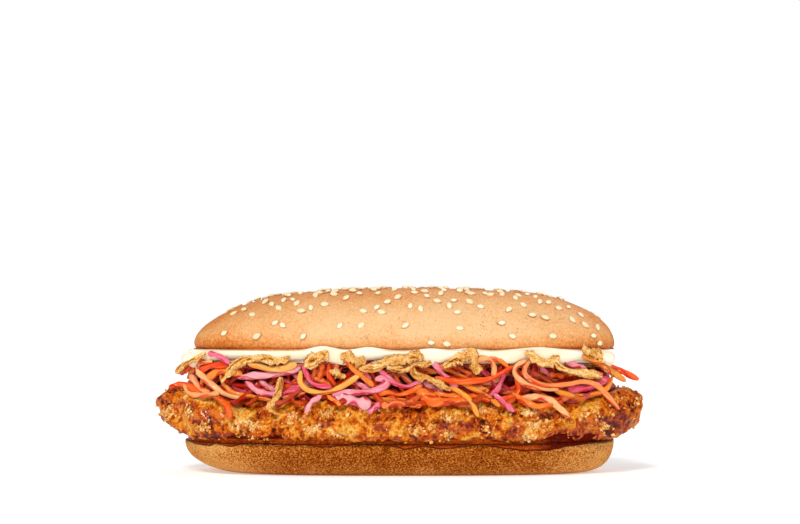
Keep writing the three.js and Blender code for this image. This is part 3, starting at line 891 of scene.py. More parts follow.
@dataclass(frozen=True)
class Crown:
    """The upper half of the roll, with its seeds.

    Attributes:
        plan: Its outline.
        shift: How far towards +X it sits.
        cut: Height of the cut face.
        widest: Height where the side stands out furthest.
        top: Height at the middle of the roll.
        fall: How much lower the ridge would be at the left and at the right end.
        shoulder: How far in from its long sides it is fully high.
        shoulder_to: Between which distances from the middle that grows to the half width.
        rim_inset: How far the cut edge curls in.
        seed_count: How many seeds lie on it.
        seed_size: A seed's length, width and thickness.
        seed_lean: How far a seed at most turns towards the side, as a part of upright.
        seed_jitter: How far at most the even scatter is shaken, from side to side.
        unseen: Height above which the middle of the crust isn't seen from the front.
        unseen_fall: How much lower that is at the ends.
        around: Points round the crust.
    """

    plan: Plan = Plan(83.9, 38.0, 2.7)
    shift: float = 1.6
    cut: float = 48.8
    widest: float = 51.0
    top: float = 72.8
    fall: Pair = (8.0, 4.6)
    shoulder: float = 30.0
    shoulder_to: Pair = (30.0, 75.0)
    rim_inset: float = 1.2
    seed_count: int = 160
    seed_size: tuple[float, float, float] = (3.4, 2.25, 1.6)
    seed_lean: float = 0.55
    seed_jitter: float = 6.4
    unseen: float = 71.0
    unseen_fall: float = 6.0
    around: int = 520

    def ridge_and_shoulder(self, x: Array) -> tuple[Array, Array]:
        """The ridge's height at x, which falls with the square of the distance from the
        middle, and how far in from the sides the crust reaches it."""
        along = x - self.shift
        fall = np.where(along < 0.0, *self.fall)
        wider = self.plan.half_width - self.shoulder
        shoulder = self.shoulder + wider * ramp(np.abs(along), *self.shoulder_to)
        return self.top - fall * (along / self.plan.half_length) ** 2, shoulder

    def crust_height(self, x: Array, inset: Array) -> Array:
        """Height of the crust: a quarter ellipse over the inset, from the side to the ridge."""
        ridge, shoulder = self.ridge_and_shoulder(x)
        across = 1.0 - held(inset / shoulder)
        return self.widest + (ridge - self.widest) * np.sqrt(1.0 - across * across)

    def front_at(self, x: Array, z: Array) -> Array:
        """Where along Y the front of the crust has a height: the same ellipse turned round."""
        ridge, shoulder = self.ridge_and_shoulder(x)
        up = np.clip((z - self.widest) / (ridge - self.widest), 0.0, 0.995)
        inset = shoulder * (1.0 - np.sqrt(1.0 - up * up))
        wide = (x - self.shift) / (1.0 - inset / self.plan.half_length)
        return -self.plan.reach(wide) * (1.0 - inset / self.plan.half_width)

    def inset_at(self, x: Array, y: Array) -> Array:
        """How far places lie inside the crown's outline."""
        return self.plan.inset_at(x - self.shift, y)

    def sheet(self) -> Sheet:
        """The crust as a grid: the cut face, the rim that curls in, and the dome, with a soft
        swell of broad noise along its normals."""
        rise = self.widest - self.cut
        side = (
            (self.plan.half_width, self.cut),
            (self.rim_inset + 2.0, self.cut),
            (self.rim_inset, self.cut + 0.1),
            (0.45 * self.rim_inset, self.cut + 0.25 * rise),
            (0.1 * self.rim_inset, self.cut + 0.6 * rise),
            (0.0, self.widest),
        )
        low = smooth_path(side, [4, 4, 5, 5, 5])
        turn = np.linspace(0.0, math.pi / 2.0, 84)[1:]
        inward = self.plan.half_width * (1.0 - np.cos(turn))
        dome = columns(inward, self.widest)
        rings = np.vstack([low, dome])
        points = loaf(self.plan, rings, self.around)
        points[..., 0] += self.shift
        points[len(low) :, :, 2] = self.crust_height(points[len(low) :, :, 0], dome[:, 0:1])
        normal = normals_of(points)
        swell = 0.34 * bumps(points, 34.0, 5.0) + 0.16 * Noise.smooth(points, 9.0, 3)
        swell += 0.06 * Noise.layered(points, 2.4, 2, 8)
        bare = ramp(rings[:, 0], self.plan.half_width, self.plan.half_width - 4.0)[:, None]
        points += normal * (swell * np.maximum(bare, 0.25))[..., None]
        return Sheet(points, {"bake": self.bake(points)})

    def bake(self, points: Array) -> Array:
        """How brown the crust is: least in a band low on the long sides, more again along its lowest
        edge, most along the ridge, at the ends and where broad noise says so. The browning at the
        ends is partly painted shade, for the light that falls off where the crust turns away."""
        up = (points[..., 2] - self.cut) / (self.top - self.cut)
        along = points[..., 0] - self.shift
        # Browner towards both ends: partly the crust's own colour, partly painted shade.
        left = ramp(-along, 20.0, 84.0)
        right = 0.8 * ramp(along, 30.0, 84.0)
        inset = self.inset_at(points[..., 0], np.zeros_like(along))
        here = (points[..., 2] - self.cut) / (self.crust_height(points[..., 0], inset) - self.cut)
        ridge = np.maximum(ramp(up, 0.5, 1.02), 0.62 * ramp(here, 0.6, 1.0))
        under = 1.0 - ramp(up, 0.0, 0.3)
        cloud = 0.12 * Noise.smooth(points, 26.0, 12) + 0.09 * Noise.smooth(points, 9.0, 13)
        inside = self.inset_at(points[..., 0], points[..., 1])
        cut_face = (points[..., 2] < self.cut + 0.1) & (inside > 2.0)
        baked = 0.06 + 0.38 * np.maximum(left, right) + 0.46 * ridge + 0.46 * under + cloud
        return np.where(cut_face, 0.0, held(baked))

    def seed_places(self) -> tuple[Array, Array]:
        """Where the seeds lie and how they are turned: those seen on the front, then an even
        scatter over the rest, kept more often towards the ridge.

        Returns:
            Places, (count, 2), and angles, (count,).
        """
        index = np.arange(1, 2000)
        x = (2.0 * np.modf(index * SPREAD[0])[0] - 1.0) * (self.plan.half_length - 2.0)
        y = (2.0 * np.modf(index * SPREAD[1])[0] - 1.0) * (self.plan.half_width - 1.0)
        x = x + self.seed_jitter * (draw(index, 6) - 0.5)
        y = y + self.seed_jitter * (draw(index, 7) - 0.5)
        inset = self.plan.inset_at(x, y)
        wanted = 0.06 + 0.94 * ramp(inset, 1.0, 13.0)
        level = self.unseen - self.unseen_fall * (x / self.plan.half_length) ** 2
        unseen = self.crust_height(x + self.shift, inset) > level
        kept = (np.abs(y) < self.plan.reach(x) - 1.0) & (draw(index, 3) < wanted) & ((y > -4.0) | unseen)
        chosen = index[kept][: self.seed_count] - 1
        seen = np.array(FRONT_SEEDS, dtype=float)
        front = columns(seen[:, 0], self.front_at(seen[:, 0], seen[:, 1]))
        places = np.vstack([front, columns(x[chosen] + self.shift, y[chosen])])
        return places, 2.0 * math.pi * draw(np.arange(len(places)), 5)

    def seeds(self) -> Piece:
        """Every seed as a small drop: a ball stretched to the seed's size and drawn to a point
        at one end, laid along the crust and leaning a little to the side."""
        places, angle = self.seed_places()
        x, y = places.T
        lot = draw(np.arange(len(x)), 8)
        step = 0.5
        west, east, south, north, here = (
            self.crust_height(x + dx, self.inset_at(x + dx, y + dy))
            for dx, dy in ((-step, 0.0), (step, 0.0), (0.0, -step), (0.0, step), (0.0, 0.0))
        )
        up = unit(columns((west - east) / (2.0 * step), (south - north) / (2.0 * step), 1.0))
        spot = columns(x, y, here) + up * 0.3
        lean = self.seed_lean * draw(np.arange(len(x)), 9) * held(np.abs(y) / 12.0)
        up = unit(up + self.plan.outward(spot) * lean[:, None])
        heading = columns(np.cos(angle), np.sin(angle), 0.0)
        along = unit(heading - up * np.sum(heading * up, axis=-1, keepdims=True))
        ball = unit_ball(7, 9)
        ball[..., :2] *= 1.0 - 0.5 * held(ball[..., 2:]) ** 1.2
        side, top, run = np.moveaxis(ball, -1, 0)
        size = np.array(self.seed_size) / 2.0 * (0.86 + 0.3 * lot)[:, None]
        points = spot[:, None, None, :]
        for way, part, half in zip((along, np.cross(up, along), up), (run, side, top), size.T):
            points = points + way[:, None, None, :] * (part * half[:, None, None])[..., None]
        marks = {"lot": lot[:, None, None], "rim": 1.0 - np.abs(top)}
        return swarm_object("sesame_seeds", points, marks)

    def build(self) -> None:
        """Makes and dresses the crust and the seeds."""
        crust = BreadFinish(
            "golden_crust", rough=0.5, flesh=0.06,
            shades=tones((252, 204, 150), (249, 188, 126), (240, 162, 92), (224, 130, 56), (186, 90, 26)),
            freckle=tone(176, 96, 40), freckles=0.52, freckle_size=0.6, skin=0.95, skin_depth=0.16,
            mottle=0.8,
        )
        finish_piece(sheet_object("roll_crown", self.sheet()), crust.material(), "crown")
        seed = SeedFinish("sesame_cream", rough=0.4, flesh=0.1)
        finish_piece(self.seeds(), seed.material(), "crown")


@dataclass(frozen=True)
class Heel:
    """The lower half of the roll, like a boat whose left end is the longer bow.

    Attributes:
        height: Height of its cut top.
        side_height: Height at which its rounded side ends.
        base_inset: How much smaller the flat underside is.
        taper: How much shorter still the underside is at the left and at the right end.
        around: Points round it.
    """

    height: float = 13.0
    side_height: float = 12.4
    base_inset: float = 12.0
    taper: Pair = (12.0, 2.0)
    around: int = 520

    def inset_of(self, z: Array) -> Array:
        """How far in the rounded side is at a height: the rest of a quarter ellipse."""
        down = held(1.0 - z / self.side_height)
        return self.base_inset * (1.0 - np.sqrt(1.0 - down * down))

    @staticmethod
    def swell(points: Array) -> Array:
        """How far the side stands out beyond its plain shape, in soft uneven waves."""
        return 0.22 * bumps(points, 26.0, 9.0) + 0.16 * Noise.layered(points, 5.0, 3, 21)

    def sheet(self) -> Sheet:
        """A flat base, a quarter ellipse up the side, and a soft upper edge; each ring is also
        drawn in towards both ends as far as the ellipse is."""
        turn = np.linspace(0.0, math.pi / 2.0, 34)
        inward = 1.0 - np.sin(turn)
        side = columns(self.base_inset * inward, self.side_height * (1.0 - np.cos(turn)), inward)
        base = np.linspace((ROLL.half_width, 0.0, 1.0), (self.base_inset, 0.0, 1.0), 12)[:-1]
        edge = smooth_path(((0.0, self.side_height, 0.0), (0.7, self.height - 0.05, 0.0)), [4])[1:]
        top = np.linspace((0.7, self.height - 0.05, 0.0), (ROLL.half_width, self.height, 0.0), 10)[1:]
        rings = np.vstack([base, side, edge, top])
        points = loaf(ROLL, rings, self.around)
        taper = np.where(points[..., 0] < 0.0, *self.taper)
        points[..., 0] *= 1.0 - rings[:, 2:3] * taper / ROLL.half_length
        stands = ramp(points[..., 2], 0.2, 3.0)[..., None]
        points = points + normals_of(points) * self.swell(points)[..., None] * stands
        return Sheet(points, {"bake": self.bake(points)})

    def bake(self, points: Array) -> Array:
        """Brown along the long sides, pale at the ends and the cut edge, and paler towards the
        underside, where the paleness is painted light from below.
        """
        up = points[..., 2] / self.height
        left = ramp(-points[..., 0], 40.0, 80.0)
        right = 0.85 * ramp(points[..., 0], 44.0, 82.0)
        cut = ramp(up, 0.72, 1.0)
        cloud = 0.1 * Noise.smooth(points, 16.0, 31)
        # Less browning near the underside: painted light from below.
        baked = 0.56 - 0.5 * np.maximum(left, right) - 0.06 * cut - 0.16 * (1.0 - ramp(up, 0.0, 0.6)) + cloud
        return held(baked)

    def build(self) -> None:
        """Makes and dresses the heel."""
        crumb = BreadFinish(
            "heel_crust", rough=0.8, mirror=0.02,
            shades=tones((240, 176, 100), (214, 136, 58), (174, 88, 17), (132, 54, 2), (88, 28, 0)),
            freckle=tone(92, 36, 2), freckles=0.62, freckle_size=0.6, skin=0.66, skin_depth=0.24,
            mottle=1.6,
        )
        finish_piece(sheet_object("roll_heel", self.sheet()), crumb.material(), "heel")


# ---- patty, glaze and crumbs

PATTY_PLAN = Plan(95.6, 40.6, 2.3)

# Dark glaze on the front of the patty: x, height, half length and half height.
GLAZE_PATCHES = (
    (-75, 23, 9, 3.6), (-84, 27, 4, 2.4), (-68, 15.5, 9, 2), (-57, 27.5, 6, 1.6), (-28, 20.5, 4, 1.3),
    (-7, 19.5, 4, 1.6), (20, 19.5, 8, 2.6), (45, 17.5, 3.4, 4), (69, 16, 14, 2.6), (75, 21, 5, 2.2),
    (55, 23.5, 4, 1.6), (85, 21, 5, 3),
)

# Clusters of pale crumbs on the front, in the same way.
CRUMB_PATCHES = (
    (-58.5, 19.5, 4.6, 2.6), (-41, 22.5, 4, 1.8), (-33, 18.5, 2.2, 1.6), (-76, 19, 3.2, 1.6),
    (-82, 25, 1.8, 1.6), (-25, 17.5, 1.8, 1.2), (-27.5, 24.5, 1.8, 1.4), (5.5, 18.5, 2.8, 2.2),
    (18, 22.8, 3.4, 1.6), (11, 19, 2, 1.4), (18.5, 16.5, 2.6, 1.8), (53, 20, 4.6, 1.7),
    (49.5, 15.4, 3, 1.6), (33, 18.5, 2.6, 1.6), (48.5, 25, 3, 1.4), (73, 23, 3, 2), (79, 19, 2.4, 1.8),
    (-12, 26, 4, 1.2), (33, 25.5, 3.6, 1.2), (-90, 24, 2.6, 2.4),
)


def patches(points: Array, places: tuple) -> Array:
    """Soft elliptical patches on the front: the highest of bell curves round the places."""
    front = ramp(-points[..., 1], -4.0, 6.0)
    most = np.zeros(points.shape[:-1])
    for x, z, half_length, half_height in places:
        far = ((points[..., 0] - x) / half_length) ** 2 + ((points[..., 2] - z) / half_height) ** 2
        most = np.maximum(most, np.exp(-far))
    return most * front


@dataclass(frozen=True)
class Patty:
    """The breaded patty, whose two ends lift off the roll.

    Attributes:
        bottom: Height of its underside.
        top: Height of its upper side.
        end_rise: How far the ends lift.
        end_rise_from: Where along X they start to.
        extra_rise: How much higher still the upper side stands at the left and right end.
        keel: How far the underside curves up towards the left and right tip.
        around: Points round it.
        crumb_count: How many loose crumbs stick to it.
    """

    bottom: float = 14.7
    top: float = 29.6
    end_rise: float = 2.4
    end_rise_from: float = 66.0
    extra_rise: Pair = (1.8, 1.2)
    keel: Pair = (6.0, 4.5)
    around: int = 1300
    crumb_count: int = 2300

    def rise(self, x: Array) -> Array:
        """How much the patty, and what lies on it, is lifted at x."""
        return self.end_rise * ramp(np.abs(x), self.end_rise_from, PATTY_PLAN.half_length)

    def sheet(self) -> Sheet:
        """The slab with its relief along its normals: broad swells; crags, which are the
        absolute value of bent noise turned over, so that soft crowns meet in sharp creases;
        flakes, which are sharp crests; and fine grit."""
        thick = self.top - self.bottom
        keys = (
            (PATTY_PLAN.half_width, self.bottom, 0),
            (8.0, self.bottom, 0),
            (2.4, self.bottom - 0.7, 0.5),
            (0.6, self.bottom + 0.07 * thick, 0.9),
            (0.1, self.bottom + 0.34 * thick, 1.0),
            (0.0, self.bottom + 0.56 * thick, 1.0),
            (1.2, self.bottom + 0.79 * thick, 1.0),
            (4.4, self.bottom + 0.96 * thick, 0.8),
            (9.0, self.top, 0.4),
            (PATTY_PLAN.half_width, self.top, 0),
        )
        rings = smooth_path(keys, [2, 7, 7, 9, 9, 10, 10, 8, 2])
        points = loaf(PATTY_PLAN, rings, self.around)
        weight = held(rings[:, 2:3])
        outward = PATTY_PLAN.outward(points)
        swell = 1.2 * bumps(points, 13.0, 2.0) + 0.4 * bumps(points, 6.5, 7.0)
        points = points + outward * (weight * swell)[..., None]
        points[..., 2] += self.rise(points[..., 0]) + 0.4 * weight * bumps(points, 6.5, 4.0)
        up = ramp(rings[:, 1:2], self.bottom, self.top)
        x = points[..., 0]
        ends = self.extra_rise[0] * ramp(-x, 68.0, 88.0) + self.extra_rise[1] * ramp(x, 70.0, 90.0)
        keel = self.keel[0] * ramp(-x, 80.0, 97.0) + self.keel[1] * ramp(x, 83.0, 97.0)
        points[..., 2] += ends * up + (keel - 0.6 * self.rise(x)) * (1.0 - up)
        glaze = self.glaze(points)
        pale = np.maximum(patches(points, CRUMB_PATCHES), self.back_crumbs(points))
        bent = points + 1.5 * columns(*(Noise.smooth(points, 4.0, seed) for seed in (61, 62, 63)))
        crag = 1.0 - 2.2 * np.abs(Noise.smooth(bent, 7.5, 64))
        flake = 1.0 - 2.6 * np.abs(Noise.smooth(bent, 2.6, 65))
        grit = Noise.smooth(points, 1.15, 66)
        rubble, lot = Noise.lumps(bent, 2.0, 67)
        calm = 1.0 - 0.5 * glaze
        height = 0.6 * crag + calm * (0.36 * flake + 0.22 * grit) + 0.9 * pale * rubble
        points = points + normals_of(points) * (weight * height)[..., None]
        # Painted shade: the colour follows the height, so the hollows come out darker.
        relief = 0.4 + 0.26 * crag + 0.22 * flake + 0.2 * grit + 0.24 * Noise.smooth(points, 18.0, 68)
        relief -= 0.16 * ramp(points[..., 0], 66.0, 90.0) + 0.08 * ramp(-points[..., 0], 84.0, 94.0)
        cream = held(1.7 * pale * (0.05 + rubble))
        marks = {"relief": held(relief), "lot": lot, "glaze": glaze, "cream": cream}
        return Sheet(points, marks)

    def back_crumbs(self, points: Array) -> Array:
        """Clusters of pale crumbs away from the front, where a noise is high."""
        away = 1.0 - ramp(-points[..., 1], 0.0, 14.0)
        return ramp(Noise.smooth(points, 8.0, 69), 0.4, 0.75) * away

    def glaze(self, points: Array) -> Array:
        """Where dark glaze lies: in patches on the front, along the lower edge, and elsewhere
        by broad noise."""
        x, z = points[..., 0], points[..., 2]
        low = 0.5 * (1.0 - ramp(z - self.rise(x), self.bottom + 0.2, self.bottom + 3.2))
        away = 1.0 - 0.75 * ramp(-points[..., 1], 0.0, 14.0)
        cloud = away * ramp(Noise.smooth(points, 15.0, 51), 0.1, 0.6)
        ragged = 0.5 * Noise.smooth(points, 3.2, 52)
        most = np.maximum(1.25 * patches(points, GLAZE_PATCHES), np.maximum(low, 0.8 * cloud))
        return held(most + ragged * ramp(most, 0.1, 0.5))

    def crumbs(self, sheet: Sheet) -> Piece:
        """Loose crumbs in clusters: small bent balls of few faces set on scattered points of
        the breading, most of them where it is pale."""
        rings, around = sheet.points.shape[:2]
        pick = np.arange(14 * self.crumb_count)
        ring = (6 + (rings - 12) * draw(pick, 71)).astype(int)
        column = (around * draw(pick, 72)).astype(int)
        spot = sheet.points[ring, column]
        facing = normals_of(sheet.points)[ring, column]
        pale = sheet.marks["cream"][ring, column]
        bare = 1.0 - 0.85 * sheet.marks["glaze"][ring, column]
        wanted = np.maximum(pale, 0.12 * bare * (0.3 + ramp(Noise.smooth(spot, 6.0, 75), 0.0, 0.5)))
        kept = np.flatnonzero(draw(pick, 73) < wanted)[: self.crumb_count]
        spot, facing = spot[kept, None, None, :], facing[kept, None, None, :]
        size = (0.2 + 0.55 * draw(kept, 74) ** 1.6)[:, None, None, None]
        points = spot + facing * (0.2 * size) + unit_ball(5, 6) * size
        knock = columns(*(Noise.smooth(points, 0.8, seed) for seed in (81, 82, 83)))
        points = points + 1.1 * knock * size
        cream = held(0.1 + 0.9 * draw(kept, 76) ** 1.3 + 0.3 * pale[kept])
        marks = {"relief": 0.45 + 0.4 * draw(kept, 78), "lot": draw(kept, 77), "cream": cream}
        marks = {key: values[:, None, None] for key, values in marks.items()}
        return swarm_object("patty_crumbs", points, marks | {"glaze": 0.0})

    def build(self) -> None:
        """Makes and dresses the patty and its loose crumbs."""
        sheet = self.sheet()
        crumb = CrumbFinish("fried_crumb", rough=0.5, flesh=0.08).material()
        finish_piece(sheet_object("breaded_patty", sheet), crumb, "patty")
        finish_piece(self.crumbs(sheet), crumb, "patty")


# The lower edge of the film on the front of the heel, given point by point: x and height.
FILM_EDGE = (
    (-86, 12.6), (-80, 11.9), (-74, 11.4), (-71, 12.4), (-66, 11.3), (-61, 12.2), (-57, 12.9),
    (-50, 12.8), (-42, 12.2), (-37, 12.5), (-30, 11.5), (-23, 11.9), (-13, 12.9), (-5, 12.2), (2, 10.9),
    (9, 11.9), (15, 10.9), (23, 11.6), (31, 12.6), (38, 11.3), (47, 10.1), (57, 10.2), (64, 11.3),
    (71, 12.1), (77, 12.7), (86, 12.9),
)


@dataclass(frozen=True)
class Glaze:
    """The sauce between heel and patty: a film over the heel's edge, thick under the patty.

    Attributes:
        bottom: Height of its underside, on the heel.
        top: Height of its upper side, under the patty.
        rim: Height near the heel's edge from which the film hangs down.
        pools: Where it stands thickest on the front: x, how thick and how wide.
        around: Points round it.
    """

    bottom: float = 13.1
    top: float = 14.5
    rim: float = 12.9
    pools: tuple = (
        (-78, 0.3, 5), (-69, 0.5, 6), (-60, 0.6, 6), (-49, 0.35, 7), (-28, 0.3, 8), (5, 0.35, 5),
        (20, 0.3, 10), (58, 0.8, 9), (72, 1.0, 11),
    )
    around: int = 1000

    def edge_and_pool(self, points: Array) -> tuple[Array, Array]:
        """The film's lower edge and how thick the sauce stands, read from the tables on the
        front and from noise behind, and both hardly there at the two ends."""
        level = points * np.array([1.0, 1.0, 0.0])
        x = points[..., 0]
        front = ramp(-points[..., 1], 4.0, 16.0)
        keys = np.array(FILM_EDGE, dtype=float)
        seen = np.interp(x, keys[:, 0], keys[:, 1]) + 0.25 * Noise.smooth(level, 2.6, 92)
        behind = 11.9 + 1.1 * Noise.smooth(level, 9.0, 91) + 0.4 * Noise.smooth(level, 3.6, 92)
        deep = bells(x, self.pools)
        hollow = 0.4 + 0.8 * Noise.smooth(level, 10.0, 93)
        ends = ramp(np.abs(x), 86.0, 80.0)
        edge = front * seen + (1.0 - front) * np.minimum(behind, self.rim)
        pool = (front * deep + (1.0 - front) * held(hollow)) * ends
        return self.rim + (edge - self.rim) * (0.2 + 0.8 * ends), pool

    def sheet(self) -> Sheet:
        """A flat slab whose edge turns down over the heel's side as a film with a bead for its
        lower edge, and swells out under the patty where it pools."""
        keys = (
            (ROLL.half_width, self.bottom, 0, 0, 0, 0, 0),
            (1.5, self.bottom, 0, 0, 0, 0, 0),
            (0, 12.7, 0.3, -0.1, 0, 0, 0),
            (0, self.rim, 1.0, -0.05, 0, 0, 0),
            (0, 12.96, 1.0, 0.3, 0.1, 0, 0),
            (0, 13.25, 0.9, 0.4, 0.2, 0, 0),
            (0, 13.5, 0.5, 0.22, 0.5, 0, 0),
            (0.0, 13.9, 0.15, 0.25, 1.2, 0.1, 0.2),
            (0, 14.6, 0, 0.3, 1.8, 0.9, 0.7),
            (0.5, self.top + 0.3, 0, 0, 1.2, 1.5, 1.1),
            (3.0, self.top + 0.3, 0, 0, 0, 0.3, 1.1),
            (ROLL.half_width, self.top, 0, 0, 0, 0, 1.0),
        )
        rings = smooth_path(keys, [2, 3, 3, 3, 3, 4, 5, 5, 5, 4, 2])
        points = loaf(ROLL, rings, self.around)
        edge, pool = self.edge_and_pool(points)
        ends = ramp(np.abs(points[..., 0]), 81.0, 86.0)
        points[..., 2] += rings[:, 2:3] * (edge - self.rim) + rings[:, 5:6] * pool
        points[..., 2] += rings[:, 6:7] * PATTY.rise(points[..., 0]) * 1.1
        out = rings[:, 3:4] + rings[:, 4:5] * pool - HEEL.inset_of(points[..., 2])
        out += HEEL.swell(points) - 1.6 * ends
        out += 0.5 * rings[:, 4:5] * pool * Noise.layered(points, 2.4, 2, 94)
        rim = ramp(rings[:, 0], 2.0, 0.5)[:, None]
        points = points + ROLL.outward(points) * (rim * out)[..., None]
        # The film mark is 0 under the patty and in pools: near-black there, partly painted shadow.
        film = ramp(points[..., 2], 15.0, 14.2) * (0.2 + 0.8 * ramp(pool, 1.2, 0.1))
        line = np.broadcast_to(ramp(rings[:, 1], 13.4, 13.1)[:, None], film.shape)
        return Sheet(points, {"film": film, "edge": line})

    def build(self) -> None:
        """Makes and dresses the sauce."""
        finish = GlazeFinish("dark_sauce", rough=0.3, mirror=0.02)
        finish_piece(sheet_object("sauce_layer", self.sheet()), finish.material(), "sauce")


# ---- mayonnaise

MAYO_PLAN = Plan(85.9, 38.5, 2.7)


@dataclass(frozen=True)
class Mayo:
    """The wavy bead of mayonnaise under the crown.

    Attributes:
        bottom: Height of its flat underside.
        edge: Height of the underside at the rim.
        top: Height of its upper side, under the crown.
        peaks: Where its upper edge climbs on the front: x, how high and how wide.
        lobes: Where its lower edge sags on the front: x, how deep and how wide.
        drops: Round drops near the ends: x, height, radius, and how far in front of the rim.
        around: Points round it.
    """

    bottom: float = 43.3
    edge: float = 45.1
    top: float = 48.5
    peaks: tuple = ((-74, 0.2, 9), (-29.5, 1.7, 6), (-12, 1.3, 6), (12, 0.8, 6), (26, 0.9, 5), (53, 1.2, 10))
    lobes: tuple = ((-82, 3.4, 8), (-50, 0.8, 9), (-21, 2.2, 7), (11, 2.2, 6), (42, 1.7, 5), (61, 1.9, 7))
    drops: tuple = ((80.4, 45.4, 3.4, 4.6), (-80.6, 44.9, 4.2, 1.0))
    around: int = 900

    def sheet(self) -> Sheet:
        """A slab with a round bead at its rim. The bead's upper edge climbs at the peaks and
        its lower edge sags at the lobes; behind, noise does both."""
        keys = (
            (MAYO_PLAN.half_width, self.bottom, 0, 0),
            (5.0, self.bottom, 0, 0),
            (1.4, self.edge - 0.1, 0.8, 0),
            (0, self.edge, 1.0, 0),
            (-1.0, self.edge + 1.2, 0.8, 0),
            (-1.3, self.top - 1.0, 0.3, 0.3),
            (-0.9, self.top + 0.2, 0, 0.9),
            (-0.3, self.top + 0.6, 0, 1.0),
            (0.15, self.top + 0.35, 0, 0.7),
            (2.4, self.top, 0, 0),
            (MAYO_PLAN.half_width, self.top, 0, 0),
        )
        rings = smooth_path(keys, [2, 7, 8, 9, 9, 8, 6, 5, 5, 2])
        points = loaf(MAYO_PLAN, rings, self.around)
        level = points * np.array([1.0, 1.0, 0.0])
        front = ramp(-points[..., 1], 0.0, 12.0)
        x = points[..., 0]
        rolling = 0.9 + 1.3 * Noise.smooth(level, 15.0, 101)
        sag = front * bells(x, self.lobes) + (1.0 - front) * rolling
        uneven = 0.5 + 0.7 * Noise.smooth(level, 12.0, 102)
        climb = front * bells(x, self.peaks) + (1.0 - front) * uneven
        puff = 0.45 * Noise.smooth(points, 8.0, 103) + 0.22 * (sag - 1.0)
        tip = 2.6 * ramp(-x, 80.5, 86.5) + 2.6 * ramp(x, 79.0, 86.5)
        points[..., 0] *= 1.0 - 0.022 * ramp(x, 70.0, 86.0)
        points[..., 2] += rings[:, 3:4] * (climb - 0.45) - rings[:, 2:3] * (sag - 0.2)
        points[..., 2] -= tip * ramp(rings[:, 1:2], self.edge, self.top)
        rim = held(rings[:, 2:3] + rings[:, 3:4])
        points = points + MAYO_PLAN.outward(points) * (rim * puff)[..., None]
        return Sheet(points)

    @staticmethod
    def drop(x: float, z: float, radius: float, out: float) -> Piece:
        """A drop near an end: a ball, wider than it is high, that reaches back into the layer."""
        ball = unit_ball(25, 40) * np.array([1.0, 1.9, 0.88])
        middle = np.array([x, 0.9 * radius - float(MAYO_PLAN.reach(x)) - out, z])
        points = middle + ball * radius * (1.0 + 0.24 * Noise.smooth(ball, 1.1, 105)[..., None])
        return swarm_object("mayo_drop_right" if x > 0.0 else "mayo_drop_left", points[None], {})

    def build(self) -> None:
        """Makes and dresses the mayonnaise."""
        cream = CreamFinish("mayonnaise", rough=0.34, coat=0.1, flesh=0.25, glow=(2.2, 1.6, 1.1)).material()
        finish_piece(sheet_object("mayo_layer", self.sheet()), cream, "mayo")
        for drop in self.drops:
            finish_piece(self.drop(*drop), cream, "mayo")


# ---- strips over the heap

HEAP = Plan(87.0, 36.4, 2.6)
HEAP_HALF_OUTLINE = 206.0
PATTY = Patty()
HEEL = Heel()


class Kind(Enum):
    """What a strip of the heap is."""

    CARROT = "carrot"
    AMBER = "amber_carrot"
    STAINED = "stained_carrot"
    ONION = "pickled_onion"


CARROT, AMBER, STAINED, ONION = Kind


def drape(edge: Array, lift: Array | float) -> Array:
    """Points of the heap's outline at their heights, each lifted off the heap's face or, lower
    down, off the patty."""
    apron = 7.6 * ramp(edge[..., 2], 33.0, 27.0)
    placed = edge.copy()
    placed[..., 2] += PATTY.rise(edge[..., 0]) * ramp(edge[..., 2], 46.0, 36.0)
    lift = np.where(np.asarray(lift) > 0.0, np.maximum(lift, apron), lift)
    return placed + HEAP.outward(edge) * lift[..., None]


def front_route(through: tuple, lift: Array | float) -> Array:
    """Places on the front, x and height in turn, as points over the heap, (k, 3)."""
    place = np.array(through, dtype=float).reshape(-1, 2)
    edge = columns(place[:, 0], -np.maximum(HEAP.reach(place[:, 0]), 14.0), place[:, 1])
    return drape(edge, np.broadcast_to(lift, place.shape[:1]))


class Outline:
    """The heap's outline, measured along its length."""

    points = HEAP.outline(2400)

    @classmethod
    def at(cls, part: Array, z: Array) -> Array:
        """Points at a part of the half outline from +X over +Y to -X; more goes on round."""
        count = len(cls.points)
        index = np.mod(np.round(np.asarray(part) * 0.5 * count).astype(int), count)
        edge = cls.points[index]
        return columns(edge[..., 0], edge[..., 1], z)


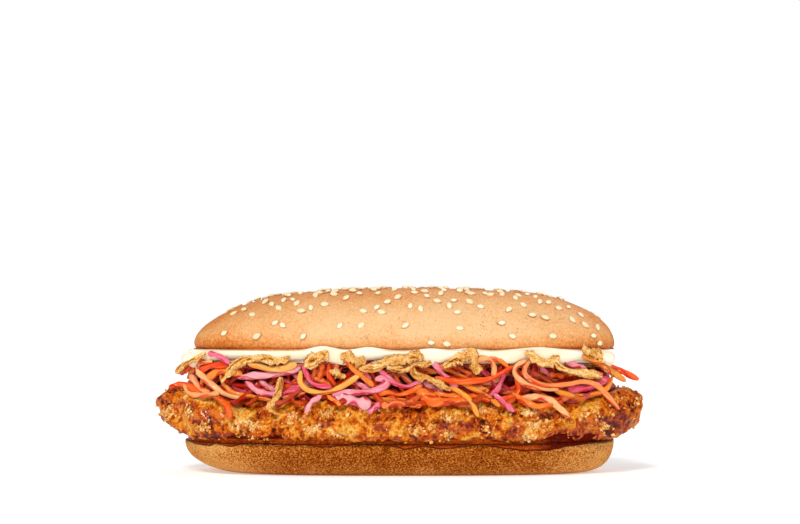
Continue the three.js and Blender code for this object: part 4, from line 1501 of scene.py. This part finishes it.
@dataclass
class Strips:
    """Many strips of one kind, swept together.

    Attributes:
        routes: Each strip's points, (k, 3).
        rows: Each strip's width, thickness, lot, which varies its looks from 0 to 1, and how much
            painted shade it gets for lying deep in the heap, from 0 to 1.
    """

    routes: list[Array] = field(default_factory=list)
    rows: list[tuple] = field(default_factory=list)

    def add(self, route: Array, width: float, thickness: float, lot: float, deep: float = 0.0) -> None:
        """Adds one strip."""
        self.routes.append(route)
        self.rows.append((width, thickness, lot, deep))

    @staticmethod
    def resample(route: Array, count: int) -> Array:
        """Evenly spaced points along the smooth path through a route, (count, 3)."""
        fine = smooth_path(route, [24] * (len(route) - 1))
        length = np.concatenate([[0.0], np.cumsum(np.linalg.norm(np.diff(fine, axis=0), axis=1))])
        wanted = np.linspace(0.0, length[-1], count)
        return columns(*(np.interp(wanted, length, values) for values in fine.T))

    def sweep(
        self, name: str, rings: int, around: int,
        rough: float = 0.0, boxy: float = 3.4, curl: float = 0.0, twist: float = 0.9,
    ) -> Piece:
        """Carries a rounded rectangle along every route, its flat side turned outwards and
        rolling a little; it narrows at both ends, noise can roughen it, and it can curl.

        Args:
            name: The object's name.
            rings: Sections along each strip.
            around: Points round each section.
            rough: How far noise moves the surface.
            boxy: The section's superellipse power.
            curl: How far its two edges bend back, as a part of its width.
            twist: How far it rolls to each side, in radians.

        Returns:
            The object, with marks lot, deep, run, girth, side and relief.
        """
        middle = np.stack([self.resample(route, rings) for route in self.routes])
        width, thickness, lot, deep = np.array(self.rows).T[:, :, None, None]
        tangent = unit(np.gradient(middle, axis=1))
        facing = HEAP.outward(middle)
        facing[..., 2] = 0.5
        across = unit(np.cross(facing, tangent))
        out = np.cross(tangent, across)
        along = np.linspace(0.0, 1.0, rings)[None, :, None]
        roll = twist * np.sin(2.0 * math.pi * (1.3 * along * (0.4 + lot) + 5.0 * lot))
        turn = np.linspace(0.0, 2.0 * math.pi, around, endpoint=False)[None, None, :]
        wide = boxed(np.cos(turn), boxy) * width / 2.0
        thick = boxed(np.sin(turn), boxy) * thickness / 2.0
        taper = (1.0 - (2.0 * along - 1.0) ** 8 * 0.6) * (1.0 + 0.14 * np.sin(9.0 * along + 20.0 * lot))
        if curl > 0.0:
            taper = taper * (1.0 - 0.4 * np.abs(2.0 * along - 1.0) ** 3)
            sides = columns(9.0 * along, np.sign(np.cos(turn)), 60.0 * lot)
            wide = wide * (1.0 + 0.5 * Noise.smooth(sides, 1.0, 122) + 0.2 * Noise.smooth(sides, 0.37, 123))
            thick = thick - curl * wide * wide / width
        wide, thick = wide * taper, thick * taper
        side_by = wide * np.cos(roll) - thick * np.sin(roll)
        out_by = wide * np.sin(roll) + thick * np.cos(roll)
        points = middle[:, :, None, :] + across[:, :, None, :] * side_by[..., None]
        points = points + out[:, :, None, :] * out_by[..., None]
        relief = np.full(points.shape[:-1], 0.5)
        if rough > 0.0:
            folds = columns(2.6 * along, 2.8 * np.cos(turn) + 4.0, 50.0 * lot)
            crest = 1.0 - 2.6 * np.abs(Noise.smooth(folds, 1.0, 120))
            bend = Noise.layered(points, 2.0, 2, 121)
            away = unit(points - middle[:, :, None, :])
            # Painted light and shade: relief follows the folds, pale on the crests and brown in the hollows.
            relief = held(0.46 + 0.34 * crest + 0.26 * bend)
            points = points + away * (rough * (crest + 0.9 * bend))[..., None]
        length = np.linalg.norm(np.diff(middle, axis=1), axis=-1).sum(axis=1)
        marks = {
            "lot": lot,
            "deep": deep,
            "run": along * length[:, None, None],
            "girth": np.cos(turn) + 0.3 * np.sin(turn),
            "side": np.abs(np.cos(turn)) ** 3,
            "relief": relief,
        }
        return swarm_object(name, points, marks, capped=True)


# The shreds that the front shows, given one by one: kind, width, layer, which is higher further
# out, and the places passed, x and height in turn.
FRONT_SHREDS = (
    (CARROT, 2.4, 4, (-88.5, 31.8, -84, 33.4, -80, 33.2, -76, 31)),
    (CARROT, 3, 3, (-73.5, 37, -69.5, 40, -64, 40.5, -60, 38.5)),
    (STAINED, 2.6, 2.4, (-80.5, 38, -77, 33, -72, 31)),
    (STAINED, 2.4, 4, (-71, 44.2, -76, 43.2, -76.5, 40, -72.5, 36, -67.5, 32.4, -60, 30)),
    (STAINED, 2.3, 5, (-82, 34, -79.5, 31, -75, 30.5, -68, 32)),
    (CARROT, 2.4, 5, (-68, 30, -63.5, 27.5, -62, 22.5)),
    (CARROT, 2.6, 3, (-78, 38.5, -72, 42.4, -65, 42.6)),
    (ONION, 2.2, 5.6, (-72, 47.5, -68.5, 46.5, -64, 43.5)),
    (STAINED, 2.4, 2, (-79, 41, -82, 36)),
    (CARROT, 2, 1, (-76, 39, -77, 33.5)),
    (AMBER, 1.9, 3, (-68.5, 40, -67.5, 36, -63, 32, -57, 31, -49, 29.5)),
    (ONION, 2.8, 3, (-62, 38, -55, 39, -47, 39.5, -38, 42)),
    (ONION, 2.6, 3, (-59, 36.5, -55, 33.5, -52, 32, -46, 31.5)),
    (ONION, 2, 1, (-54, 37, -49.5, 34, -45, 33)),
    (ONION, 2.8, 2, (-46, 31.5, -41, 33.5, -36, 35.5)),
    (STAINED, 1.7, 2, (-45, 30.5, -38, 32, -35, 34.5)),
    (AMBER, 2.2, 5, (-38, 41, -38, 36.5, -35, 33.5, -30, 32.5, -25, 33.5, -19, 37, -14, 40)),
    (ONION, 1.9, 4, (-37, 43, -35, 38, -32, 35.5, -26, 34.5)),
    (CARROT, 2.3, 5, (-21.5, 46, -16.5, 40.5, -10, 35)),
    (ONION, 1.8, 3, (-18.5, 45, -16, 42.5, -11, 37.5)),
    (ONION, 2.9, 5, (-26, 31.5, -18, 32.5, -11, 33, -7, 34.5, -5, 36.5, -6.5, 38, -9.5, 37.5)),
    (ONION, 4.4, 3, (-25, 31, -18, 29.5, -11, 28)),
    (ONION, 2.1, 4, (-30, 31.5, -34, 28.5, -36, 25)),
    (CARROT, 2.4, 1.5, (-29.5, 44.5, -31, 37)),
    (CARROT, 2.2, 1.5, (-27, 44.5, -27, 39, -24.5, 35)),
    (STAINED, 2, 1.5, (-24, 44, -25, 39)),
    (CARROT, 2, 1, (-32.5, 43, -33.5, 37)),
    (CARROT, 2.2, 2, (-33, 38, -29, 36.5, -26, 34)),
    (CARROT, 1.6, 4, (-28, 31.5, -22.5, 28)),
    (ONION, 2.4, 2, (-19, 37, -14, 35, -10.5, 33)),
    (ONION, 2.1, 4, (-9, 43, -4.5, 38, -0.5, 35.5, 3.5, 35, 9, 37.5)),
    (CARROT, 2.1, 4, (-10, 31.5, -5, 32.5, -1, 31.5, 3, 32.5, 8.5, 35.5)),
    (AMBER, 1.6, 3, (-12, 31, -6, 30, 2, 30)),
    (ONION, 2.3, 5, (-6.5, 29.5, -12, 25)),
    (STAINED, 2.6, 4, (-7, 27.5, -2.5, 28.5, 3, 28.5)),
    (CARROT, 2.8, 3.5, (1, 29.5, 8, 27.5)),
    (CARROT, 3.6, 3.4, (8, 30.5, 14, 29, 20, 29.5, 26, 28.5)),
    (CARROT, 2.6, 3, (-74, 44.5, -79, 43, -83, 38.5)),
    (STAINED, 2.4, 2, (-77, 44.5, -81, 42.5, -85, 37)),
    (CARROT, 4, 3, (5, 34.5, 11, 31.5, 17, 31, 24, 31)),
    (ONION, 2.4, 3.5, (12, 46, 15, 41, 17.5, 38.5, 22, 34.5)),
    (ONION, 2.2, 2, (8, 36.5, 13, 34.5, 17, 32)),
    (CARROT, 2.4, 6, (13.5, 38.5, 21, 37, 28, 37, 35, 38, 43, 42.5)),
    (AMBER, 2.4, 5, (18.5, 34.5, 23.5, 32.5, 27, 28.5, 30, 23.5)),
    (STAINED, 2.3, 4.5, (28.5, 43.5, 31, 45.5, 34.5, 45, 36, 42, 36, 37)),
    (CARROT, 2, 4, (34, 46, 39, 44.5, 42, 41)),
    (ONION, 2, 3, (40, 40, 37.5, 34, 34, 31)),
    (AMBER, 2.2, 2, (15, 43, 23, 39, 27, 37)),
    (CARROT, 1.8, 1, (19, 43, 25, 40.5, 30, 38)),
    (AMBER, 2, 4, (23, 36.5, 29, 33.5, 33, 31.5, 38, 27.5)),
    (ONION, 2.3, 5, (36, 32, 39.5, 29, 43.5, 25.5)),
    (CARROT, 2.2, 2.5, (26, 31.5, 34.5, 29.5)),
    (STAINED, 2.8, 2, (28, 35, 34, 33)),
    (CARROT, 2.1, 4, (44.5, 39.5, 45.5, 33.5, 42, 30.5, 37.5, 30)),
    (STAINED, 2.3, 5, (48.5, 45, 44.5, 42.5, 44, 40, 47, 36.5, 52, 34.5, 60, 33.5)),
    (STAINED, 2.2, 5.4, (50, 45, 47.5, 41, 50, 37.5, 56, 35, 63, 35.5, 68.5, 36.5, 73.5, 35, 77, 31,
        79, 24.5)),
    (CARROT, 2.4, 3.5, (43, 32.5, 47, 29.5, 52, 27.5, 57, 28)),
    (STAINED, 3, 5, (46, 30.5, 53, 30.5, 57.5, 28.5, 62, 23)),
    (AMBER, 2.3, 4, (58, 33.5, 65, 31, 72.5, 31, 78, 32.5, 81, 37)),
    (ONION, 2.6, 2, (62, 45, 66.5, 43, 71.5, 41)),
    (ONION, 2.6, 2, (70, 38, 78, 38.5)),
    (ONION, 3.4, 2.6, (64, 33.5, 71.5, 34, 80, 36.5)),
    (AMBER, 2.8, 4.6, (69, 46.5, 75, 43.5, 80, 39.5, 86, 34.5)),
    (CARROT, 2.8, 5, (76, 43.6, 83, 39.6, 91, 34.6)),
    (ONION, 2.2, 1, (53, 43, 58, 38.5)),
    (CARROT, 2.2, 1.5, (57, 39.5, 63, 38.5)),
)

SHRED_FINISHES = {
    CARROT: ShredFinish(
        "carrot", rough=0.26, coat=0.35, flesh=0.35, glow=(2.0, 0.7, 0.2),
        shades=tones((246, 70, 8), (255, 108, 20), (255, 156, 60)), edge=tone(214, 42, 2),
        streak=tone(255, 172, 84),
    ),
    AMBER: ShredFinish(
        "amber_carrot", rough=0.28, coat=0.3, flesh=0.35, glow=(2.0, 0.9, 0.3),
        shades=tones((238, 130, 24), (248, 162, 46), (252, 190, 84)), edge=tone(206, 88, 12),
        streak=tone(255, 214, 130),
    ),
    STAINED: ShredFinish(
        "stained_carrot", rough=0.28, coat=0.3, flesh=0.4, glow=(2.0, 0.9, 0.6),
        shades=tones((252, 126, 56), (255, 168, 96), (255, 214, 160)), edge=tone(220, 66, 14),
        streak=tone(255, 212, 172),
    ),
    ONION: ShredFinish(
        "pickled_onion", rough=0.22, coat=0.4, flesh=0.5, glow=(2.4, 1.0, 1.2),
        shades=tones((230, 66, 110), (248, 122, 166), (255, 200, 218)), edge=tone(206, 36, 84),
        streak=tone(255, 214, 224),
    ),
}

# How much further out each layer of the heap lies than the one under it.
LEVEL_LIFT = 0.62


def waist(points: Array) -> Array:
    """The same places drawn in towards the middle of the roll, the more the higher they are."""
    drawn = points.copy()
    drawn[..., 0] *= 1.0 - 0.05 * ramp(points[..., 2], 31.0, 36.0) - 0.06 * ramp(points[..., 2], 36.0, 44.0)
    return drawn


@dataclass(frozen=True)
class Slaw:
    """The heap of shreds: a heart dark with painted shade, the shreds on its front, and the rest by rule.

    Attributes:
        bottom: Height of the heart's underside.
        top: Height of its upper side.
        fill_count: How many shreds lie behind those on the front.
        back_count: How many lie round the back and the ends.
        low: The lowest a scattered shred hangs, and how much higher that is at the ends.
        high: The highest it reaches, and how much lower that is at the ends.
        shares: How large a part of the scattered shreds each kind is.
    """

    bottom: float = 30.3
    top: float = 42.6
    fill_count: int = 120
    back_count: int = 150
    low: Pair = (28.5, 3.6)
    high: Pair = (45.5, 1.5)
    shares: tuple = (0.46, 0.2, 0.18, 0.16)

    def heart(self) -> Sheet:
        """A slab with rounded edges and a lumpy face, dark with painted shade."""
        keys = (
            (HEAP.half_width, self.bottom),
            (3.0, self.bottom),
            (0.9, self.bottom + 3.0),
            (0.9, self.top - 4.0),
            (3.0, self.top - 0.4),
            (HEAP.half_width, self.top),
        )
        rings = smooth_path(keys, [3, 8, 14, 8, 3])
        points = loaf(HEAP, rings, 560)
        points[..., 2] += PATTY.rise(points[..., 0])
        face = ramp(rings[:, 0], 8.0, 3.0)[:, None]
        lump, _ = Noise.lumps(points, 3.0, 130)
        points = points + HEAP.outward(points) * (face * (1.3 * lump - 0.9))[..., None]
        points[..., 0] *= 1.0 - 0.035 * ramp(np.abs(points[..., 0]), 60.0, 80.0)
        return Sheet(waist(points))

    def strips(self) -> dict[Kind, Strips]:
        """Every shred, by kind: those listed for the front, with painted shade on the lower layers,
        then ones darkened by painted shade between and behind them, then a scatter round the back
        and the ends."""
        lots = {kind: Strips() for kind in Kind}
        for i, (kind, width, level, through) in enumerate(FRONT_SHREDS):
            lift = LEVEL_LIFT * level + 0.2 * np.sin(np.arange(len(through) // 2) * 2.1 + i)
            # Painted shade: the lower a front shred's layer, the darker it is made.
            deep = max(0.0, 0.4 - 0.1 * level)
            route = front_route(through, lift)
            lots[kind].add(route, width, 0.62 * width + 0.25, float(draw(i, 31)), deep)
        # The fill behind the front shreds and an inner scatter round the back get painted shade; the outer
        # scatter none.
        self.scatter(lots, self.fill_count, 200, 1.0, (-0.5, 0.8), 1.0)
        self.scatter(lots, self.back_count // 2, 400, 0.0, (-0.4, 1.4), 0.8)
        self.scatter(lots, self.back_count, 500, 0.0, (0.8, 3.4), 0.0)
        return lots

    def scatter(
        self, lots: dict[Kind, Strips], count: int, seed: int, side: float, lift: tuple, deep: float
    ) -> None:
        """Adds bowed shreds by rule.

        Args:
            lots: Where they go, by kind.
            count: How many.
            seed: Picks their shapes.
            side: 0 for the back half of the outline with both ends, and 1 for the front.
            lift: How far off the heap they lie, from and to.
            deep: How much painted shade darkens the deepest.
        """
        bounds = np.cumsum(self.shares)
        along = np.array([-1.0, -0.45, 0.1, 0.6, 1.0])
        for i in range(count):
            pick = draw(i, seed + np.arange(9))
            kind = list(Kind)[int(np.searchsorted(bounds, pick[0]))]
            run = 7.0 + 8.0 * pick[1]
            heading = (pick[2] - 0.5) * 2.2
            bow = run * (0.1 + 0.5 * pick[3])
            lie = lift[0] + (lift[1] - lift[0]) * pick[4]
            level = np.array([-0.8, 0.9, 1.0, 0.8, -0.8 if pick[5] < 0.7 else 1.6])
            parts = side + (i * SPREAD[0] % 1.0) + along * run * math.cos(heading) / HEAP_HALF_OUTLINE
            height = 31.0 + 13.0 * (i * SPREAD[1] % 1.0)
            z = height + along * run * math.sin(heading) - bow * (1.0 - along**2)
            end = np.abs(Outline.at(parts, z)[:, 0])
            lowest = self.low[0] + self.low[1] * ramp(end, 60.0, 78.0)
            highest = self.high[0] - self.high[1] * ramp(end, 74.0, 87.0)
            edge = Outline.at(parts, np.clip(z, lowest, highest))
            width = 1.6 + 0.9 * pick[6]
            tip = 1.0 - 0.75 * ramp(np.abs(edge[:, 0]), 74.0, 84.0)
            route = waist(drape(edge, np.where(level > 0, (lie * level + 0.2) * tip, level)))
            # How much painted shade this shred gets: up to deep, less for some.
            dark = deep * (1.0 - 0.5 * pick[7])
            lots[kind].add(route, width, 0.6 * width + 0.25, pick[8], dark)

    def build(self) -> None:
        """Makes and dresses the heart and the four kinds of shred."""
        heart = HeartFinish("heap_heart_painted_shade", rough=0.35, coat=0.15).material()
        finish_piece(sheet_object("slaw_heart_painted_shade", self.heart()), heart, "slaw")
        for kind, strips in self.strips().items():
            piece = strips.sweep(f"{kind.value}_shreds", 30, 12)
            finish_piece(piece, SHRED_FINISHES[kind].material(), "slaw")


# ---- fried onions

# The fried onions that the front shows: width, layer and places, in the same way.
FRONT_CRISPS = (
    (4.2, 7, (-72.5, 47.6, -77, 45, -81.5, 42, -84.5, 38.2)),
    (3.4, 7, (-66.5, 36.5, -64, 40, -61.5, 43.2, -57.5, 45.2, -52, 46.2)),
    (3.6, 7.4, (-56, 45.6, -51, 45.4, -47, 45, -42, 46)),
    (3.1, 7.4, (-45.5, 38.5, -46, 35, -47.5, 31, -49.5, 27.5, -47, 24.5)),
    (5.2, 7, (-27.5, 48.4, -31, 46, -36.5, 42.5)),
    (4.8, 7.6, (-22.5, 47.6, -18, 45.8, -13, 44)),
    (3.2, 5, (-27, 41, -24, 40, -21, 38)),
    (3.6, 7, (-14.5, 42.5, -9, 43.4, -3, 44.8, 1, 46.8)),
    (5.4, 7.6, (-4, 44, 1, 46, 5, 46.4, 9, 46.2)),
    (2.9, 6.6, (-5, 42.2, 1, 41.5, 4.5, 43.2, 12, 44)),
    (3, 7, (4.5, 43, 6, 39, 10.5, 38.5, 15, 36, 19.5, 33.5)),
    (5, 7.6, (16.5, 42.6, 21.5, 45.6, 26.5, 47.6)),
    (4.6, 7.8, (24, 45.5, 27.5, 47.2, 29.5, 39.5)),
    (4.2, 7.6, (48, 48, 52.5, 45.2, 56, 44.5, 60, 46.4)),
    (4, 7.4, (58, 46, 60, 43, 63.5, 41, 70, 39.5, 75, 37.5)),
    (4.4, 7, (68, 49.8, 72.4, 47.8, 77, 45.4)),
)

# Smooth yellow bands of onion without batter, in the same way.
FRONT_BANDS = (
    (2.9, 5.2, (-58, 44, -53.5, 42.5, -49.5, 41.5, -44.5, 41.8, -39.5, 43.5)),
    (2.4, 5.4, (-16, 42, -11.5, 41.2, -7, 42)),
)


@dataclass(frozen=True)
class FriedOnions:
    """The layer of fried onions between the heap and the mayonnaise.

    Attributes:
        plan: The layer's outline.
        bottom: Height of its underside.
        top: Height of its upper side.
        back_count: How many pieces lie round the back and the ends.
        last_piece: How far out along X those may lie.
    """

    plan: Plan = Plan(81.0, 34.5, 2.6)
    bottom: float = 41.8
    top: float = 43.3
    back_count: int = 50
    last_piece: float = 76.0

    def bed(self) -> Sheet:
        """The hidden layer itself, a thin rough slab."""
        keys = (
            (self.plan.half_width, self.bottom),
            (1.5, self.bottom),
            (0.0, (self.bottom + self.top) / 2.0),
            (1.5, self.top),
            (self.plan.half_width, self.top),
        )
        rings = smooth_path(keys, [4, 6, 6, 4])
        points = loaf(self.plan, rings, 420)
        lump, _ = Noise.lumps(points, 2.6, 140)
        rim = ramp(rings[:, 0], 4.0, 1.0)[:, None]
        points = points + self.plan.outward(points) * (rim * (1.2 * lump - 0.5))[..., None]
        # Painted shade: the relief mark follows the lumps, so the hollows come out browner.
        relief = held(0.2 + 0.7 * lump)
        marks = {"relief": relief, "lot": np.full(relief.shape, 0.7), "side": np.zeros(relief.shape)}
        return Sheet(points, marks)

    def crisps(self) -> Strips:
        """The pieces listed for the front, then some by rule behind and at the ends."""
        strips = Strips()
        for i, (width, level, through) in enumerate(FRONT_CRISPS):
            lift = LEVEL_LIFT * level + 0.25 * np.sin(np.arange(len(through) // 2) * 1.7 + i)
            strips.add(front_route(through, lift), width, 0.5 + 0.1 * width, float(draw(i, 41)))
        for i in range(self.back_count):
            pick = draw(i, 700 + np.arange(7))
            way = -1.0 if pick[0] < 0.5 else 1.0
            run = way * (8.0 + 10.0 * pick[1]) / HEAP_HALF_OUTLINE
            drop = 1.0 + 8.0 * pick[2]
            along = np.array([0.0, 0.15, 0.5, 1.0])
            z = 43.5 + np.array([0.0, 1.6, 1.0 * pick[3], -drop])
            edge = Outline.at(i * SPREAD[0] % 1.0 + along * run, z)
            if np.abs(edge[:, 0]).max() > self.last_piece:
                continue
            lift = np.array([-2.0, 3.6, 4.4, 4.2 + 0.6 * pick[4]])
            width = 2.8 + 2.0 * pick[5]
            strips.add(drape(edge, lift), width, 0.5 + 0.1 * width, pick[6])
        return strips

    def bands(self) -> Strips:
        """The smooth bands on the front."""
        strips = Strips()
        for i, (width, level, through) in enumerate(FRONT_BANDS):
            strips.add(front_route(through, LEVEL_LIFT * level), width, 0.6 * width, 0.3 + 0.5 * i)
        return strips

    def build(self) -> None:
        """Makes and dresses the layer, its pieces and the smooth bands."""
        batter = BatterFinish("fried_batter", rough=0.5, flesh=0.05).material()
        finish_piece(sheet_object("fried_onion_bed", self.bed()), batter, "fried_onions")
        pieces = self.crisps().sweep("fried_onion_pieces", 60, 22, rough=0.22, boxy=2.6, curl=0.7, twist=0.6)
        finish_piece(pieces, batter, "fried_onions")
        smooth = ShredFinish(
            "cooked_onion", rough=0.28, coat=0.3, flesh=0.4,
            shades=tones((250, 190, 96), (253, 206, 120)), edge=tone(236, 156, 60),
            streak=tone(255, 224, 156),
        )
        piece = self.bands().sweep("onion_bands", 30, 14)
        finish_piece(piece, smooth.material(), "fried_onions")


# ---- studio


@dataclass(frozen=True)
class Studio:
    """The pale floor, the lights and the camera.

    Attributes:
        distance: From the camera to the middle of the sandwich, in metres.
        eye: The camera's height in metres.
        lens: Its focal length in millimetres, on a sensor 36 mm wide.
        pitch: How far it looks up, in degrees.
        ambient: Strength of the light from all round.
        floor_radius: Radius of the round floor.
        lamps: The distant lights: name, azimuth, elevation, strength and softness.
    """

    distance: float = 0.889
    eye: float = 0.062
    lens: float = 100.0
    pitch: float = 1.38
    ambient: float = 0.2
    floor_radius: float = 9000.0
    lamps: tuple = (
        ("key_light", -16.0, 38.0, 2.2, 16.0),
        ("front_fill", 24.0, 10.0, 0.7, 60.0),
        ("left_fill", -82.0, 22.0, 0.7, 50.0),
        ("right_fill", 84.0, 22.0, 0.7, 50.0),
        ("back_light", 165.0, 44.0, 0.7, 40.0),
    )

    def camera(self) -> None:
        """Looks along +Y from the front, as the photograph does."""
        lens = bpy.data.cameras.new("front_camera")
        lens.lens = self.lens
        lens.sensor_width = 36.0
        camera = linked("front_camera", lens)
        camera.location = (0.0, -self.distance, self.eye)
        camera.rotation_euler = (math.radians(90.0 + self.pitch), 0.0, 0.0)
        bpy.context.scene.camera = camera

    def floor(self) -> None:
        """A round pale floor: one fan of triangles."""
        around = 96
        angle = np.linspace(0.0, 2.0 * math.pi, around, endpoint=False)
        rim = columns(np.cos(angle), np.sin(angle), 0.0) * self.floor_radius
        points = np.vstack([np.zeros((1, 3)), rim])
        ring = np.arange(around)
        floor = mesh_object("studio_floor", points, [columns(0, ring + 1, (ring + 1) % around + 1)], {})
        material = bpy.data.materials.new("studio_white")
        material.use_nodes = True
        values = {
            "Base Color": (0.84, 0.84, 0.84, 1.0),
            "Roughness": 0.9,
            "Specular IOR Level": 0.1,
            "Emission Color": WHITE,
            "Emission Strength": 0.36,
        }
        for key, value in values.items():
            material.node_tree.nodes["Principled BSDF"].inputs[key].default_value = value
        floor.data.materials.append(material)

    def sun(self, name: str, azimuth: float, elevation: float, strength: float, softness: float) -> None:
        """A distant soft light.

        Args:
            name: Its name.
            azimuth: Where it stands, in degrees from the front towards +X.
            elevation: How high, in degrees.
            strength: In watts per square metre.
            softness: How wide it looks, in degrees.
        """
        data = bpy.data.lights.new(name, "SUN")
        data.energy = strength
        data.angle = math.radians(softness)
        linked(name, data).rotation_euler = (math.radians(90.0 - elevation), 0.0, math.radians(azimuth))

    def lights(self) -> None:
        """A key light from the front and left, weaker ones from all sides, and an
        even white surround that looks brighter to the camera than it lights."""
        for lamp in self.lamps:
            self.sun(*lamp)
        world = bpy.data.worlds.new("studio_world")
        world.use_nodes = True
        world.node_tree.nodes.clear()
        recipe = Recipe(world.node_tree)
        even = recipe.node("ShaderNodeBackground", Color=WHITE, Strength=self.ambient)
        seen = recipe.node("ShaderNodeBackground", Color=WHITE, Strength=1.0)
        path = recipe.node("ShaderNodeLightPath")
        both = recipe.node("ShaderNodeMixShader")
        recipe.feed(both.inputs[0], path.outputs["Is Camera Ray"])
        recipe.feed(both.inputs[1], even.outputs["Background"])
        recipe.feed(both.inputs[2], seen.outputs["Background"])
        recipe.node("ShaderNodeOutputWorld", Surface=both.outputs["Shader"])
        bpy.context.scene.world = world
        bpy.context.scene.view_settings.view_transform = "Standard"

    def build(self) -> None:
        """Sets up camera, floor and lights."""
        self.camera()
        self.floor()
        self.lights()


def main() -> None:
    """Builds the studio and every layer of the sandwich, from the bottom up."""
    logging.basicConfig(level=logging.INFO, format="%(name)s: %(message)s")
    Studio().build()
    HEEL.build()
    Glaze().build()
    PATTY.build()
    Slaw().build()
    FriedOnions().build()
    Mayo().build()
    Crown().build()


if __name__ == "__main__":
    main()
